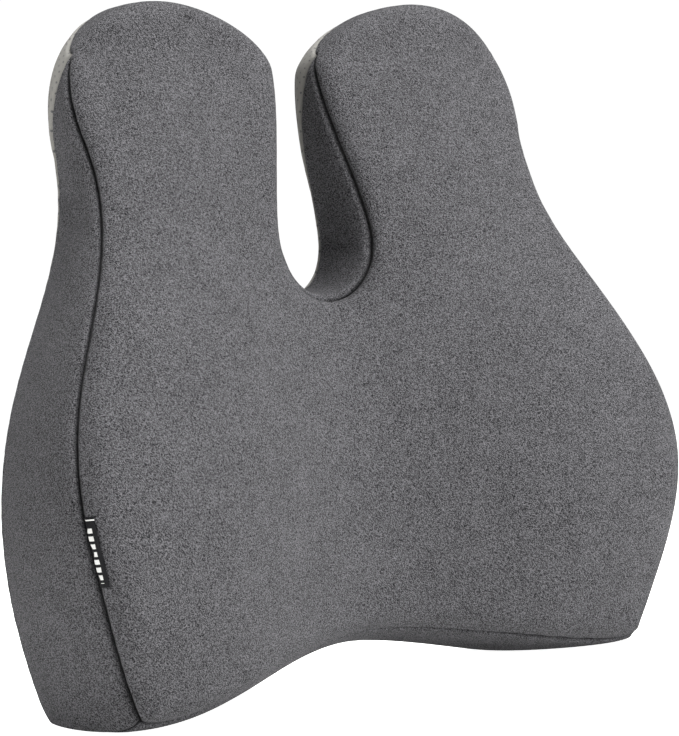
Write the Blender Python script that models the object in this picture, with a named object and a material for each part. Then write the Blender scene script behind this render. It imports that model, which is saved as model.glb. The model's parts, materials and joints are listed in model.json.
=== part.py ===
"""Lumbar support cushion: a moulded foam core in a thin liner, inside a sewn cover with a zip.

Metres, +Z up.  The front that a back leans on faces -Y, +X is the viewer's right, and the
cushion stands on the bottom panel.  The origin is the middle of the bottom of its box.

One master surface holds the cushion's outer shape.  The outline is drawn once as the front
seam; a rib at each outline point runs from the front face over the rolled rim, across the
side panel and round the back edge.  Every soft layer is that surface moved inwards.
"""
import bmesh
import bpy
import numpy as np
from mathutils import Matrix, Vector

MM = 0.001

# --- Outline of the front seam, right half: x from the middle, z above the corner seam ---------
ARCH_RISE = 23.5 * MM            # bottom edge at the middle
CORNER_HALF_WIDTH = 182.0 * MM   # where the bottom and side seams meet
WING_HALF_WIDTH = 214.5 * MM     # widest point of the wings
WING_HEIGHT = 125.0 * MM
WAIST_HALF_WIDTH = 160.5 * MM    # outer side of the lobes
WAIST_HEIGHT = 333.0 * MM
LOBE_MIDDLE = 96.0 * MM          # x of the highest point of a lobe
TOP_HEIGHT = 420.0 * MM
MOUTH_HALF_WIDTH = 16.5 * MM     # narrowest place of the spine channel
MOUTH_HEIGHT = 377.0 * MM
CHANNEL_HALF_WIDTH = 34.5 * MM   # widest place of the spine channel
CHANNEL_WIDE_HEIGHT = 270.0 * MM
CHANNEL_FLOOR_HEIGHT = 230.0 * MM

# --- How far the outline's arcs reach from each of those places before they turn ----------------
ARCH_REACH = 58.0 * MM
CORNER_BOTTOM_STEP = (-21.5 * MM, -13.5 * MM)
CORNER_SIDE_STEP = (15.5 * MM, 36.0 * MM)
WING_LOWER_REACH = 34.0 * MM
WING_UPPER_REACH = 82.0 * MM
WAIST_LOWER_STEP = (-13.5 * MM, -76.0 * MM)
WAIST_UPPER_STEP = (11.0 * MM, 57.0 * MM)
LOBE_OUTER_REACH = 43.0 * MM
LOBE_INNER_REACH = 37.0 * MM
MOUTH_UPPER_REACH = 21.0 * MM
MOUTH_LOWER_REACH = 30.0 * MM
CHANNEL_UPPER_REACH = 25.0 * MM
CHANNEL_LOWER_REACH = 23.0 * MM
CHANNEL_FLOOR_REACH = 19.5 * MM

# --- Depths, from the flat back to the front seam, at fractions of the height ------------------
DEPTH_LEVELS = (0.0, 0.24, 0.48, 0.71, 0.92)
SIDE_DEPTHS = (99.0 * MM, 117.0 * MM, 96.5 * MM, 63.0 * MM, 35.5 * MM)
CENTRE_DEPTHS = (58.0 * MM, 66.0 * MM, 55.0 * MM, 48.0 * MM, 32.0 * MM)
HUG = 4                          # how early the hollow between the wings turns forwards

# --- Rolled edges and the soft swell of the panels ---------------------------------------------
RIM_LEVELS = (0.0, 0.15, 0.40, 0.62, 0.80, 1.0)
RIM_RADII = (13.0 * MM, 16.0 * MM, 16.0 * MM, 7.0 * MM, 11.0 * MM, 12.0 * MM)
BACK_ROLL_DEPTH = 6.0 * MM       # how far forward of the back the back seam lies
BACK_ROLL_INSET = 9.0 * MM
FLARE_LEVELS = (0.0, 0.14, 0.33, 0.62, 1.0)
FLARES = (11.0 * MM, 6.5 * MM, -3.5 * MM, -2.0 * MM, -5.0 * MM)
CHANNEL_FLARE = 6.0 * MM
BULGE_LEVELS = (0.0, 0.06, 0.2, 1.0)
BULGES = (7.0 * MM, 6.0 * MM, 4.0 * MM, 2.0 * MM)
CHANNEL_BULGE = 1.0 * MM
FOOT_FLAT = 7.0 * MM             # how much of the lowest swell is pressed flat where it stands

# --- Side panels taper out towards the lobe tops ------------------------------------------------
TAPER_START_HEIGHT = 270.0 * MM
TIP_DROP = 32.0 * MM             # how far below the lobe's top a side panel ends

# --- Layers -------------------------------------------------------------------------------------
GAP = 0.3 * MM                   # between any two pieces that touch
COVER_THICKNESS = 2.0 * MM
LINER_THICKNESS = 0.8 * MM

# --- Zip across the back panel ------------------------------------------------------------------
ZIP_HEIGHT = 78.0 * MM           # above the surface the cushion stands on
ZIP_LENGTH = 260.0 * MM          # the slot in the back panel
TAPE_TAIL = 6.0 * MM             # how far each tape runs on past the slot
SLOT_HALF_WIDTH = 7.0 * MM
TAPE_WIDTH = 12.0 * MM
TAPE_THICKNESS = 0.6 * MM
COIL_WIDTH = 1.8 * MM
COIL_THICKNESS = 1.5 * MM
SLIDER_LENGTH = 9.0 * MM
SLIDER_WEB = 0.4 * MM
SLIDER_PLATE = 0.8 * MM
SLIDER_OVERHANG = 1.4 * MM       # how far the slider's plates reach over each tape
PULL_LENGTH = 22.0 * MM
PULL_HALF_WIDTH = 3.2 * MM
PULL_THICKNESS = 0.8 * MM
PIN_RADIUS = 0.3 * MM
LUG_HALF_WIDTH = 0.8 * MM
STOP_LENGTH = 2.5 * MM

# --- Sewn tab label on the left seam ------------------------------------------------------------
LABEL_HEIGHT = 100.0 * MM        # middle of the label above the corner seam
LABEL_LENGTH = 39.0 * MM
LABEL_WIDTH = 11.0 * MM
LABEL_THICKNESS = 0.5 * MM

# --- Mesh counts --------------------------------------------------------------------------------
ACROSS = 6                       # bottom edge, and lobe top
CENTRE_LINE = 7
CHANNEL_EDGE = 7
FLOOR_ROW_HEIGHT = 190.0 * MM    # outer end of the row of quads that meets the channel's floor
OUTER_EDGE = CENTRE_LINE + CHANNEL_EDGE
RIM_STEPS = 2
SIDE_STEPS = 3
BACK_STEPS = 2
EVENING_PASSES = 4


def clear_scene():
    for thing in list(bpy.data.objects):
        bpy.data.objects.remove(thing, do_unlink=True)


def make_material(name, colour, roughness, metallic=0.0):
    material = bpy.data.materials.new(name)
    material.use_nodes = True
    shader = material.node_tree.nodes["Principled BSDF"]
    shader.inputs["Base Color"].default_value = (*colour, 1.0)
    shader.inputs["Roughness"].default_value = roughness
    shader.inputs["Metallic"].default_value = metallic
    return material


def make_object(name, vertices, faces, material):
    """A mesh object with its outside facing out and its round parts shaded smooth."""
    mesh = bpy.data.meshes.new(name)
    mesh.from_pydata([tuple(map(float, v)) for v in vertices], [], faces)
    shape = bmesh.new()
    shape.from_mesh(mesh)
    bmesh.ops.triangulate(shape, faces=shape.faces, quad_method="FIXED")
    shape.to_mesh(mesh)
    shape.free()
    mesh.materials.append(material)
    mesh.shade_smooth()
    mesh.set_sharp_from_angle(angle=np.radians(40.0))
    thing = bpy.data.objects.new(name, mesh)
    bpy.context.scene.collection.objects.link(thing)
    return thing


def smooth_through(levels, values, at):
    """Cubic through the values at the levels, flat outside them; slopes are mean secants."""
    levels = np.asarray(levels)
    values = np.asarray(values)
    at = np.clip(at, levels[0], levels[-1])
    secants = np.diff(values) / np.diff(levels)
    slopes = np.concatenate(([secants[0]], (secants[1:] + secants[:-1]) / 2, [secants[-1]]))
    index = np.clip(np.searchsorted(levels, at) - 1, 0, len(levels) - 2)
    width = levels[index + 1] - levels[index]
    t = (at - levels[index]) / width
    start = values[index] * (1 + 2 * t) * (1 - t) ** 2 + slopes[index] * width * t * (1 - t) ** 2
    end = values[index + 1] * t * t * (3 - 2 * t) - slopes[index + 1] * width * t * t * (1 - t)
    return start + end


def arc(start, start_handle, end_handle, end, count=40):
    """Bezier arc; the handles are given as steps from their own ends."""
    t = np.linspace(0.0, 1.0, count)[:, None]
    start, end = np.array(start), np.array(end)
    first, second = start + np.array(start_handle), end + np.array(end_handle)
    return ((1 - t) ** 3 * start + 3 * (1 - t) ** 2 * t * first
            + 3 * (1 - t) * t * t * second + t ** 3 * end)


def resample(points, count):
    """The same line with count equal steps along its length."""
    steps = np.linalg.norm(np.diff(points, axis=0), axis=1)
    along = np.concatenate(([0.0], np.cumsum(steps)))
    wanted = np.linspace(0.0, along[-1], count + 1)
    return np.stack([np.interp(wanted, along, points[:, i]) for i in (0, 1)], axis=1)


def join(*lines):
    return np.concatenate([lines[0]] + [line[1:] for line in lines[1:]])


def bottom_edge():
    middle = (0.0, ARCH_RISE)
    corner = (CORNER_HALF_WIDTH, 0.0)
    return arc(middle, (ARCH_REACH, 0.0), CORNER_BOTTOM_STEP, corner)


def outer_edge():
    corner = (CORNER_HALF_WIDTH, 0.0)
    wing = (WING_HALF_WIDTH, WING_HEIGHT)
    waist = (WAIST_HALF_WIDTH, WAIST_HEIGHT)
    top = (LOBE_MIDDLE, TOP_HEIGHT)
    return join(arc(corner, CORNER_SIDE_STEP, (0.0, -WING_LOWER_REACH), wing),
                arc(wing, (0.0, WING_UPPER_REACH), WAIST_LOWER_STEP, waist),
                arc(waist, WAIST_UPPER_STEP, (LOBE_OUTER_REACH, 0.0), top))


def inner_edge():
    top = (LOBE_MIDDLE, TOP_HEIGHT)
    mouth = (MOUTH_HALF_WIDTH, MOUTH_HEIGHT)
    wide = (CHANNEL_HALF_WIDTH, CHANNEL_WIDE_HEIGHT)
    floor = (0.0, CHANNEL_FLOOR_HEIGHT)
    return join(arc(top, (-LOBE_INNER_REACH, 0.0), (0.0, MOUTH_UPPER_REACH), mouth),
                arc(mouth, (0.0, -MOUTH_LOWER_REACH), (0.0, CHANNEL_UPPER_REACH), wide),
                arc(wide, (0.0, -CHANNEL_LOWER_REACH), (CHANNEL_FLOOR_REACH, 0.0), floor))


def outline_sides():
    """The half outline as four sides: bottom, outer, lobe top, spine channel."""
    outer, inner = outer_edge(), inner_edge()
    outer_tip = np.argmax(outer[:, 1] >= TOP_HEIGHT - TIP_DROP)
    inner_tip = np.argmax(inner[:, 1] <= TOP_HEIGHT - TIP_DROP)
    beside_floor = np.argmax(outer[:, 1] >= FLOOR_ROW_HEIGHT)
    side = join(resample(outer[:beside_floor + 1], CENTRE_LINE),
                resample(outer[beside_floor:outer_tip + 1], CHANNEL_EDGE))
    lobe = join(outer[outer_tip:], inner[:inner_tip + 1])
    return (resample(bottom_edge(), ACROSS), side, resample(lobe, ACROSS),
            resample(inner[inner_tip:], CHANNEL_EDGE))


def seam_depth(points):
    """Depth of the front seam surface, deepest at the wings and hollow in the middle."""
    outer = outer_edge()
    level = points[..., 1] / TOP_HEIGHT
    half_width = np.interp(points[..., 1], outer[:, 1], outer[:, 0])
    across = np.clip(np.abs(points[..., 0]) / half_width, 0.0, 1.0)
    side = smooth_through(DEPTH_LEVELS, SIDE_DEPTHS, level)
    centre = smooth_through(DEPTH_LEVELS, CENTRE_DEPTHS, level)
    return centre + (side - centre) * (1 - (1 - across ** 2) ** HUG)


def outward(points):
    """Unit normals of the open outline, pointing out of the cushion; upright at both ends."""
    along = np.gradient(points, axis=0)
    normals = np.stack([along[:, 1], -along[:, 0]], axis=1)
    normals[0] = (0.0, -1.0)
    normals[-1] = (0.0, 1.0)
    return normals / np.linalg.norm(normals, axis=1)[:, None]


def make_ribs():
    """Points of each rib, front face to back face, as x, depth from the back, z."""
    sides = outline_sides()
    outline = join(*sides)
    lobe_start = ACROSS + OUTER_EDGE
    channel_start = lobe_start + ACROSS
    index = np.arange(len(outline))
    normals = outward(outline)
    level = outline[:, 1] / TOP_HEIGHT
    depth = seam_depth(outline)
    in_channel = index > channel_start
    on_lobe = (index >= lobe_start) & (index <= channel_start)

    taper = TOP_HEIGHT - TIP_DROP - TAPER_START_HEIGHT
    rise = np.clip((outline[:, 1] - TAPER_START_HEIGHT) / taper, 0, 1)
    back_depth = BACK_ROLL_DEPTH + (depth - BACK_ROLL_DEPTH) * rise ** 4
    back_depth = np.where(on_lobe, depth, back_depth)
    flare = np.where(in_channel, CHANNEL_FLARE, smooth_through(FLARE_LEVELS, FLARES, level))
    flare = flare * (depth - back_depth) / depth
    bulge = np.where(in_channel, CHANNEL_BULGE, smooth_through(BULGE_LEVELS, BULGES, level))
    bulge = np.where(on_lobe, 0.0, bulge * (1 - rise))
    rim = smooth_through(RIM_LEVELS, RIM_RADII, level)
    inset = BACK_ROLL_INSET + 0.3 * (back_depth - BACK_ROLL_DEPTH)

    rows = []
    for step in range(RIM_STEPS + 1):
        angle = 0.5 * np.pi * step / RIM_STEPS
        face = outline - normals * (rim * (1 - np.sin(angle)))[:, None]
        rows.append((face, depth + rim * np.cos(angle)))
    for step in range(1, SIDE_STEPS + 1):
        t = step / SIDE_STEPS
        shift = flare * t + bulge * 4 * t * (1 - t)
        rows.append((outline + normals * shift[:, None], depth + (back_depth - depth) * t))
    for step in range(1, BACK_STEPS + 1):
        angle = 0.5 * np.pi * step / BACK_STEPS
        shift = flare - inset * (1 - np.cos(angle))
        rows.append((outline + normals * shift[:, None], back_depth * (1 - np.sin(angle))))
    ribs = np.stack([np.stack([p[:, 0], d, p[:, 1]], axis=1) for p, d in rows], axis=1)
    ribs[0, :, 0] = 0.0
    ribs[-1, :, 0] = 0.0
    return ribs


def fill_face(edge):
    """Grid between the four sides of a rib end line, evened out by averaging neighbours."""
    bottom = edge[:ACROSS + 1]
    outer = edge[ACROSS:ACROSS + OUTER_EDGE + 1]
    top = edge[ACROSS + OUTER_EDGE:ACROSS + OUTER_EDGE + ACROSS + 1][::-1]
    channel = edge[-CHANNEL_EDGE - 1:][::-1]
    inner = join(np.linspace(bottom[0], channel[0], CENTRE_LINE + 1), channel)
    u = np.linspace(0.0, 1.0, ACROSS + 1)[None, :, None]
    v = np.linspace(0.0, 1.0, OUTER_EDGE + 1)[:, None, None]
    grid = ((1 - u) * inner[:, None] + u * outer[:, None] + (1 - v) * bottom[None] + v * top[None]
            - (1 - u) * (1 - v) * bottom[0] - u * (1 - v) * bottom[-1]
            - (1 - u) * v * top[0] - u * v * top[-1])
    for _ in range(EVENING_PASSES):
        around = grid[1:-1, :-2] + grid[1:-1, 2:] + grid[:-2, 1:-1] + grid[2:, 1:-1]
        grid[1:-1, 1:-1] = around / 4
    return grid


def front_face(edge):
    """The front grid, laid on the seam depth surface plus the rim's own rise."""
    grid = fill_face(edge)
    points = grid[..., [0, 2]]
    rise = smooth_through(RIM_LEVELS, RIM_RADII, points[..., 1] / TOP_HEIGHT)
    surface = seam_depth(points) + rise
    grid[1:-1, 1:-1, 1] = surface[1:-1, 1:-1]
    grid[1:CENTRE_LINE, 0, 1] = surface[1:CENTRE_LINE, 0]
    return grid


def grid_faces(first, rows, columns):
    """Quads of a grid whose vertices start at first, row by row."""
    return [[first + r * columns + c, first + r * columns + c + 1,
             first + (r + 1) * columns + c + 1, first + (r + 1) * columns + c]
            for r in range(rows - 1) for c in range(columns - 1)]


def panel_of_rib(rib, step):
    """Name of the panel that the strip of side between two ribs belongs to."""
    if step < RIM_STEPS:
        return "front_panel"
    if step >= RIM_STEPS + SIDE_STEPS:
        return "back_panel"
    if rib < ACROSS:
        return "bottom_panel"
    if rib < ACROSS + OUTER_EDGE:
        return "side_panel"
    if rib < 2 * ACROSS + OUTER_EDGE:
        return "front_panel"
    return "channel_panel"


def half_surface():
    """Vertices, faces and panel names of the right half, before welding."""
    ribs = make_ribs()
    front = front_face(ribs[:, 0])
    back = fill_face(ribs[:, -1])
    count, steps = ribs.shape[:2]
    rib_faces = grid_faces(0, count, steps)
    names = [panel_of_rib(rib, step) for rib in range(count - 1) for step in range(steps - 1)]
    front_start = count * steps
    back_start = front_start + front.shape[0] * front.shape[1]
    front_faces = grid_faces(front_start, front.shape[0], front.shape[1])
    back_faces = grid_faces(back_start, back.shape[0], back.shape[1])
    back_faces = [face[::-1] for face in back_faces]
    vertices = np.concatenate([ribs.reshape(-1, 3), front.reshape(-1, 3), back.reshape(-1, 3)])
    faces = rib_faces + front_faces + back_faces
    names += ["front_panel"] * len(front_faces) + ["back_panel"] * len(back_faces)
    return vertices, faces, names


def weld(vertices, faces, names):
    """One number for each place, and no face with fewer than three corners."""
    keys = np.round(vertices / (0.01 * MM)).astype(int)
    _, first, number = np.unique(keys, axis=0, return_index=True, return_inverse=True)
    number = number.ravel()
    kept_faces, kept_names = [], []
    for face, name in zip(faces, names):
        corners = []
        for corner in number[face]:
            if corner not in corners:
                corners.append(int(corner))
        if len(corners) > 2:
            kept_faces.append(corners)
            kept_names.append(name)
    return vertices[first], kept_faces, kept_names


def whole_surface():
    """Both halves welded, in the object's frame: foot pressed flat, origin below the middle."""
    vertices, faces, names = half_surface()
    mirrored = vertices * (-1.0, 1.0, 1.0)
    count = len(vertices)
    other_faces = [[corner + count for corner in turned(face)] for face in faces]
    right = ["side_panel_right" if name == "side_panel" else name for name in names]
    left = ["side_panel_left" if name == "side_panel" else name for name in names]
    vertices, faces, names = weld(np.concatenate([vertices, mirrored]),
                                  faces + other_faces, right + left)
    floor = vertices[:, 2].min() + FOOT_FLAT
    vertices[:, 2] = np.maximum(vertices[:, 2], floor) - floor
    deepest = vertices[:, 1].max()
    vertices[:, 1] = deepest / 2 - vertices[:, 1]
    return vertices, faces, names, deepest / 2, floor


def turned(face):
    """The face seen from its other side, split along the same diagonal."""
    return [face[0]] + face[:0:-1]


def vertex_normals(vertices, faces):
    """Area-weighted normals, pointing out of the closed surface."""
    normals = np.zeros_like(vertices)
    for face in faces:
        corners = vertices[face]
        following = np.roll(corners, -1, axis=0)
        area = np.cross(corners, following).sum(axis=0)
        normals[face] += area
    return normals / np.linalg.norm(normals, axis=1)[:, None]


class Surface:
    """The master surface and the layers cut from it."""

    def __init__(self):
        self.vertices, self.faces, self.names, self.back, self.floor = whole_surface()
        self.normals = vertex_normals(self.vertices, self.faces)

    def layer(self, depth):
        return self.vertices - self.normals * depth

    def solid(self, name, depth, material):
        """A full closed body, the given depth under the outside."""
        return make_object(name, self.layer(depth), self.faces, material)

    def sleeve(self, name, outer_depth, inner_depth, material):
        """The closed wall between two depths, all the way round."""
        count = len(self.vertices)
        vertices = np.concatenate([self.layer(outer_depth), self.layer(inner_depth)])
        inside = [[corner + count for corner in turned(face)] for face in self.faces]
        return make_object(name, vertices, self.faces + inside, material)

    def panel(self, name, material):
        """One cover panel, pulled back from its seams by half of the gap on each side."""
        chosen = [face for face, owner in zip(self.faces, self.names) if owner == name]
        edges = {(a, b) for face in chosen for a, b in zip(face, face[1:] + face[:1])}
        border = [(a, b) for a, b in edges if (b, a) not in edges]
        rim = {corner for edge in border for corner in edge}
        inwards = {corner: np.zeros(3) for corner in rim}
        for face in chosen:
            middle = self.vertices[face].mean(axis=0)
            for corner in face:
                if corner in rim:
                    step = middle - self.vertices[corner]
                    inwards[corner] += step / np.linalg.norm(step)
        numbers = sorted({corner for face in chosen for corner in face})
        place = {corner: i for i, corner in enumerate(numbers)}
        pull = np.zeros((len(numbers), 3))
        for corner, step in inwards.items():
            pull[place[corner]] = step / np.linalg.norm(step) * 0.8 * GAP
        vertices = np.concatenate([self.layer(0.0)[numbers] + pull,
                                   self.layer(COVER_THICKNESS)[numbers] + pull])
        count = len(numbers)
        outside = [[place[corner] for corner in face] for face in chosen]
        inside = [[corner + count for corner in turned(face)] for face in outside]
        walls = [[place[b], place[a], place[a] + count, place[b] + count]
                 for a, b in sorted(border)]
        return make_object(name, vertices, outside + inside + walls, material)


def box(name, low, high, material):
    """A plain block between two corners."""
    x, y, z = zip(low, high)
    vertices = [(x[i], y[j], z[k]) for i in (0, 1) for j in (0, 1) for k in (0, 1)]
    faces = [[0, 1, 3, 2], [4, 6, 7, 5], [0, 4, 5, 1], [2, 3, 7, 6], [0, 2, 6, 4], [1, 5, 7, 3]]
    return make_object(name, vertices, faces, material)


def subtract(target, cutter):
    """Cut one object out of another with an exact Boolean; the cutter is only a guide."""
    modifier = target.modifiers.new("cut", "BOOLEAN")
    modifier.operation = "DIFFERENCE"
    modifier.solver = "EXACT"
    modifier.object = cutter
    cutter.hide_render = True
    cutter.display_type = "WIRE"


def unite(target, other):
    """Join another body to the target by an exact Boolean; the other is only a guide."""
    modifier = target.modifiers.new("join", "BOOLEAN")
    modifier.operation = "UNION"
    modifier.solver = "EXACT"
    modifier.object = other
    other.hide_render = True
    other.display_type = "WIRE"


def prism(name, outline, low, high, place, material):
    """An outline of (a, b) points carried from low to high; place turns (a, b, c) to x, y, z."""
    count = len(outline)
    vertices = [place(a, b, low) for a, b in outline] + [place(a, b, high) for a, b in outline]
    faces = [list(range(count))[::-1], list(range(count, 2 * count))]
    faces += [[i, (i + 1) % count, (i + 1) % count + count, i + count] for i in range(count)]
    thing = make_object(name, vertices, faces, material)
    shape = bmesh.new()
    shape.from_mesh(thing.data)
    bmesh.ops.recalc_face_normals(shape, faces=shape.faces)
    shape.to_mesh(thing.data)
    shape.free()
    return thing


def circle(a, b, radius, count=16):
    turns = np.arange(count) * 2 * np.pi / count
    return [(a + radius * np.cos(turn), b + radius * np.sin(turn)) for turn in turns]


def set_origin(thing, point):
    """Move the object's origin to the point without moving its shape."""
    thing.data.transform(Matrix.Translation(-Vector(point)))
    thing.location = point


class Zip:
    """Sizes and places of the zip's pieces, all measured from the flat back of the cover."""

    def __init__(self, back):
        self.back = back
        self.coil_start = SLIDER_WEB / 2 + GAP
        self.coil_end = self.coil_start + COIL_WIDTH
        self.tape_start = self.coil_end + GAP
        self.tape_end = self.tape_start + TAPE_WIDTH
        self.tape_top = COVER_THICKNESS + GAP
        self.tape_under = self.tape_top + TAPE_THICKNESS
        middle = (self.tape_top + self.tape_under) / 2
        self.coil_top = middle - COIL_THICKNESS / 2
        self.coil_under = middle + COIL_THICKNESS / 2
        self.plate_top = self.coil_top - GAP - SLIDER_PLATE
        self.plate_under = self.coil_under + GAP + SLIDER_PLATE
        self.slider_side = self.tape_start + SLIDER_OVERHANG
        self.coil_high = ZIP_LENGTH / 2 - STOP_LENGTH - 2 * GAP
        self.coil_low = -ZIP_LENGTH / 2 + PULL_LENGTH + STOP_LENGTH + 2 * GAP
        self.slider_x = self.coil_high - GAP - SLIDER_LENGTH / 2
        self.lug_radius = 2.5 * PIN_RADIUS
        self.pin_x = self.slider_x - SLIDER_LENGTH / 2 - self.lug_radius
        self.pin_depth = self.coil_top - GAP - self.lug_radius

    def point(self, x, depth, z):
        return (x, self.back - depth, ZIP_HEIGHT + z)

    def block(self, name, xs, depths, zs, material):
        low = self.point(xs[0], depths[1], zs[0])
        high = self.point(xs[1], depths[0], zs[1])
        return box(name, low, high, material)


def add_zip_tapes(zip_, material):
    half = ZIP_LENGTH / 2 + TAPE_TAIL
    depths = (zip_.tape_top, zip_.tape_under)
    zip_.block("zip_tape_upper", (-half, half), depths, (zip_.tape_start, zip_.tape_end), material)
    zip_.block("zip_tape_lower", (-half, half), depths, (-zip_.tape_end, -zip_.tape_start), material)


def add_zip_coils(zip_, material):
    xs = (zip_.coil_low, zip_.coil_high)
    depths = (zip_.coil_top, zip_.coil_under)
    zip_.block("zip_coil_upper", xs, depths, (zip_.coil_start, zip_.coil_end), material)
    zip_.block("zip_coil_lower", xs, depths, (-zip_.coil_end, -zip_.coil_start), material)


def add_zip_stops(zip_, material):
    depths = (zip_.coil_top, zip_.coil_under)
    sides = (-zip_.coil_end, zip_.coil_end)
    high = zip_.coil_high + GAP
    low = zip_.coil_low - GAP
    zip_.block("zip_stop_closed", (high, high + STOP_LENGTH), depths, sides, material)
    zip_.block("zip_stop_open", (low - STOP_LENGTH, low), depths, sides, material)


def add_zip_slider(zip_, material):
    """Two plates with lips that grip the tapes, a web between the coils, and a lug."""
    lip_top, lip_under = zip_.tape_top - GAP, zip_.tape_under + GAP
    inner_top, inner_under = zip_.plate_top + SLIDER_PLATE, zip_.plate_under - SLIDER_PLATE
    side, lip, web = zip_.slider_side, zip_.tape_start, SLIDER_WEB / 2
    half = [(side, zip_.plate_top), (side, lip_top), (lip, lip_top), (lip, inner_top),
            (web, inner_top), (web, inner_under), (lip, inner_under), (lip, lip_under),
            (side, lip_under), (side, zip_.plate_under)]
    outline = half + [(-z, depth) for z, depth in half[::-1]]
    low, high = zip_.slider_x - SLIDER_LENGTH / 2, zip_.slider_x + SLIDER_LENGTH / 2
    slider = prism("zip_slider", outline, low, high,
                   lambda z, depth, x: zip_.point(x, depth, z), material)
    radius = zip_.lug_radius
    turns = np.linspace(0.5, 1.5, 9) * np.pi
    lug = [(zip_.pin_x + radius * np.cos(turn), zip_.pin_depth + radius * np.sin(turn))
           for turn in turns]
    lug += [(low + SLIDER_PLATE, zip_.pin_depth - radius), (low + SLIDER_PLATE, zip_.pin_depth + radius)]
    unite(slider, prism("lug_guide", lug, -LUG_HALF_WIDTH, LUG_HALF_WIDTH,
                        lambda x, depth, z: zip_.point(x, depth, z), material))
    hole = circle(zip_.pin_x, zip_.pin_depth, PIN_RADIUS + 0.3 * GAP)
    subtract(slider, prism("lug_hole_guide", hole, -2 * LUG_HALF_WIDTH, 2 * LUG_HALF_WIDTH,
                           lambda x, depth, z: zip_.point(x, depth, z), material))
    set_origin(slider, zip_.point(zip_.slider_x, 0.0, 0.0))
    return slider


def add_zip_pull(zip_, slider, material):
    """A flat tab with two arms and the pin that turns in the slider's lug."""
    arm = LUG_HALF_WIDTH + GAP
    start = zip_.pin_x + PULL_THICKNESS / 2
    fork = zip_.pin_x - 3 * zip_.lug_radius
    end = zip_.pin_x - PULL_LENGTH + 2 * zip_.lug_radius
    shoulder = end + PULL_HALF_WIDTH / 2
    outline = [(start, arm), (start, PULL_HALF_WIDTH), (shoulder, PULL_HALF_WIDTH),
               (end, PULL_HALF_WIDTH / 2), (end, -PULL_HALF_WIDTH / 2), (shoulder, -PULL_HALF_WIDTH),
               (start, -PULL_HALF_WIDTH), (start, -arm), (fork, -arm), (fork, arm)]
    low, high = zip_.pin_depth - PULL_THICKNESS / 2, zip_.pin_depth + PULL_THICKNESS / 2
    pull = prism("zip_pull", outline, low, high,
                 lambda x, z, depth: zip_.point(x, depth, z), material)
    pin = circle(zip_.pin_x, zip_.pin_depth, PIN_RADIUS)
    reach = arm + (PULL_HALF_WIDTH - arm) / 2
    unite(pull, prism("pin_guide", pin, -reach, reach,
                      lambda x, depth, z: zip_.point(x, depth, z), material))
    pin_place = zip_.point(zip_.pin_x, zip_.pin_depth, 0.0)
    set_origin(pull, pin_place)
    pull.parent = slider
    pull.location = Vector(pin_place) - slider.location


def cut_for_zip(zip_, cover, liner, foam, material):
    """The slot in the back panel, the liner's open slit and the relief in the foam behind it."""
    clear = 2 * GAP
    half = ZIP_LENGTH / 2
    tape = half + TAPE_TAIL + clear
    outside = -10 * COVER_THICKNESS
    slot = zip_.block("slot_guide", (-half, half), (outside, 1.5 * COVER_THICKNESS),
                      (-SLOT_HALF_WIDTH, SLOT_HALF_WIDTH), material)
    slit_depth = COVER_THICKNESS + GAP + LINER_THICKNESS + 3 * GAP
    slit = zip_.block("slit_guide", (-tape, tape), (outside, slit_depth),
                      (-zip_.tape_end - clear, zip_.tape_end + clear), material)
    relief = zip_.block("relief_guide", (-half, half), (outside, zip_.plate_under + GAP),
                        (-zip_.slider_side - clear, zip_.slider_side + clear), material)
    subtract(cover, slot)
    subtract(liner, slit)
    subtract(foam, relief)


def add_label(surface, material):
    """The tab label, laid along the left seam on the front panel's rolled rim."""
    ribs = make_ribs()
    seam = ribs[ACROSS:ACROSS + OUTER_EDGE + 1, RIM_STEPS]
    next_row = ribs[ACROSS:ACROSS + OUTER_EDGE + 1, RIM_STEPS - 1]
    heights = np.linspace(-0.5, 0.5, 9) * LABEL_LENGTH + LABEL_HEIGHT
    near = np.stack([np.interp(heights, seam[:, 2], seam[:, i]) for i in range(3)], axis=1)
    far = np.stack([np.interp(heights, seam[:, 2], next_row[:, i]) for i in range(3)], axis=1)
    across = (far - near) / np.linalg.norm(far - near, axis=1)[:, None]
    along = np.gradient(near, axis=0)
    out = np.cross(across, along)
    out /= np.linalg.norm(out, axis=1)[:, None]
    rows = []
    for lift in (2 * GAP, 2 * GAP + LABEL_THICKNESS):
        for reach in (2 * GAP, LABEL_WIDTH):
            rows.append(near + across * reach + out * lift)
    points = np.stack(rows, axis=1).reshape(-1, 3)
    points = np.stack([-points[:, 0], surface.back - points[:, 1],
                       points[:, 2] - surface.floor], axis=1)
    count = len(heights)
    faces = [[0, 2, 3, 1], [4 * count - 4, 4 * count - 3, 4 * count - 1, 4 * count - 2]]
    for i in range(0, 4 * (count - 1), 4):
        for a, b in ((0, 1), (1, 3), (3, 2), (2, 0)):
            faces.append([i + a, i + b, i + 4 + b, i + 4 + a])
    thing = make_object("brand_tab", points, faces, material)
    shape = bmesh.new()
    shape.from_mesh(thing.data)
    bmesh.ops.recalc_face_normals(shape, faces=shape.faces)
    shape.to_mesh(thing.data)
    shape.free()


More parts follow.
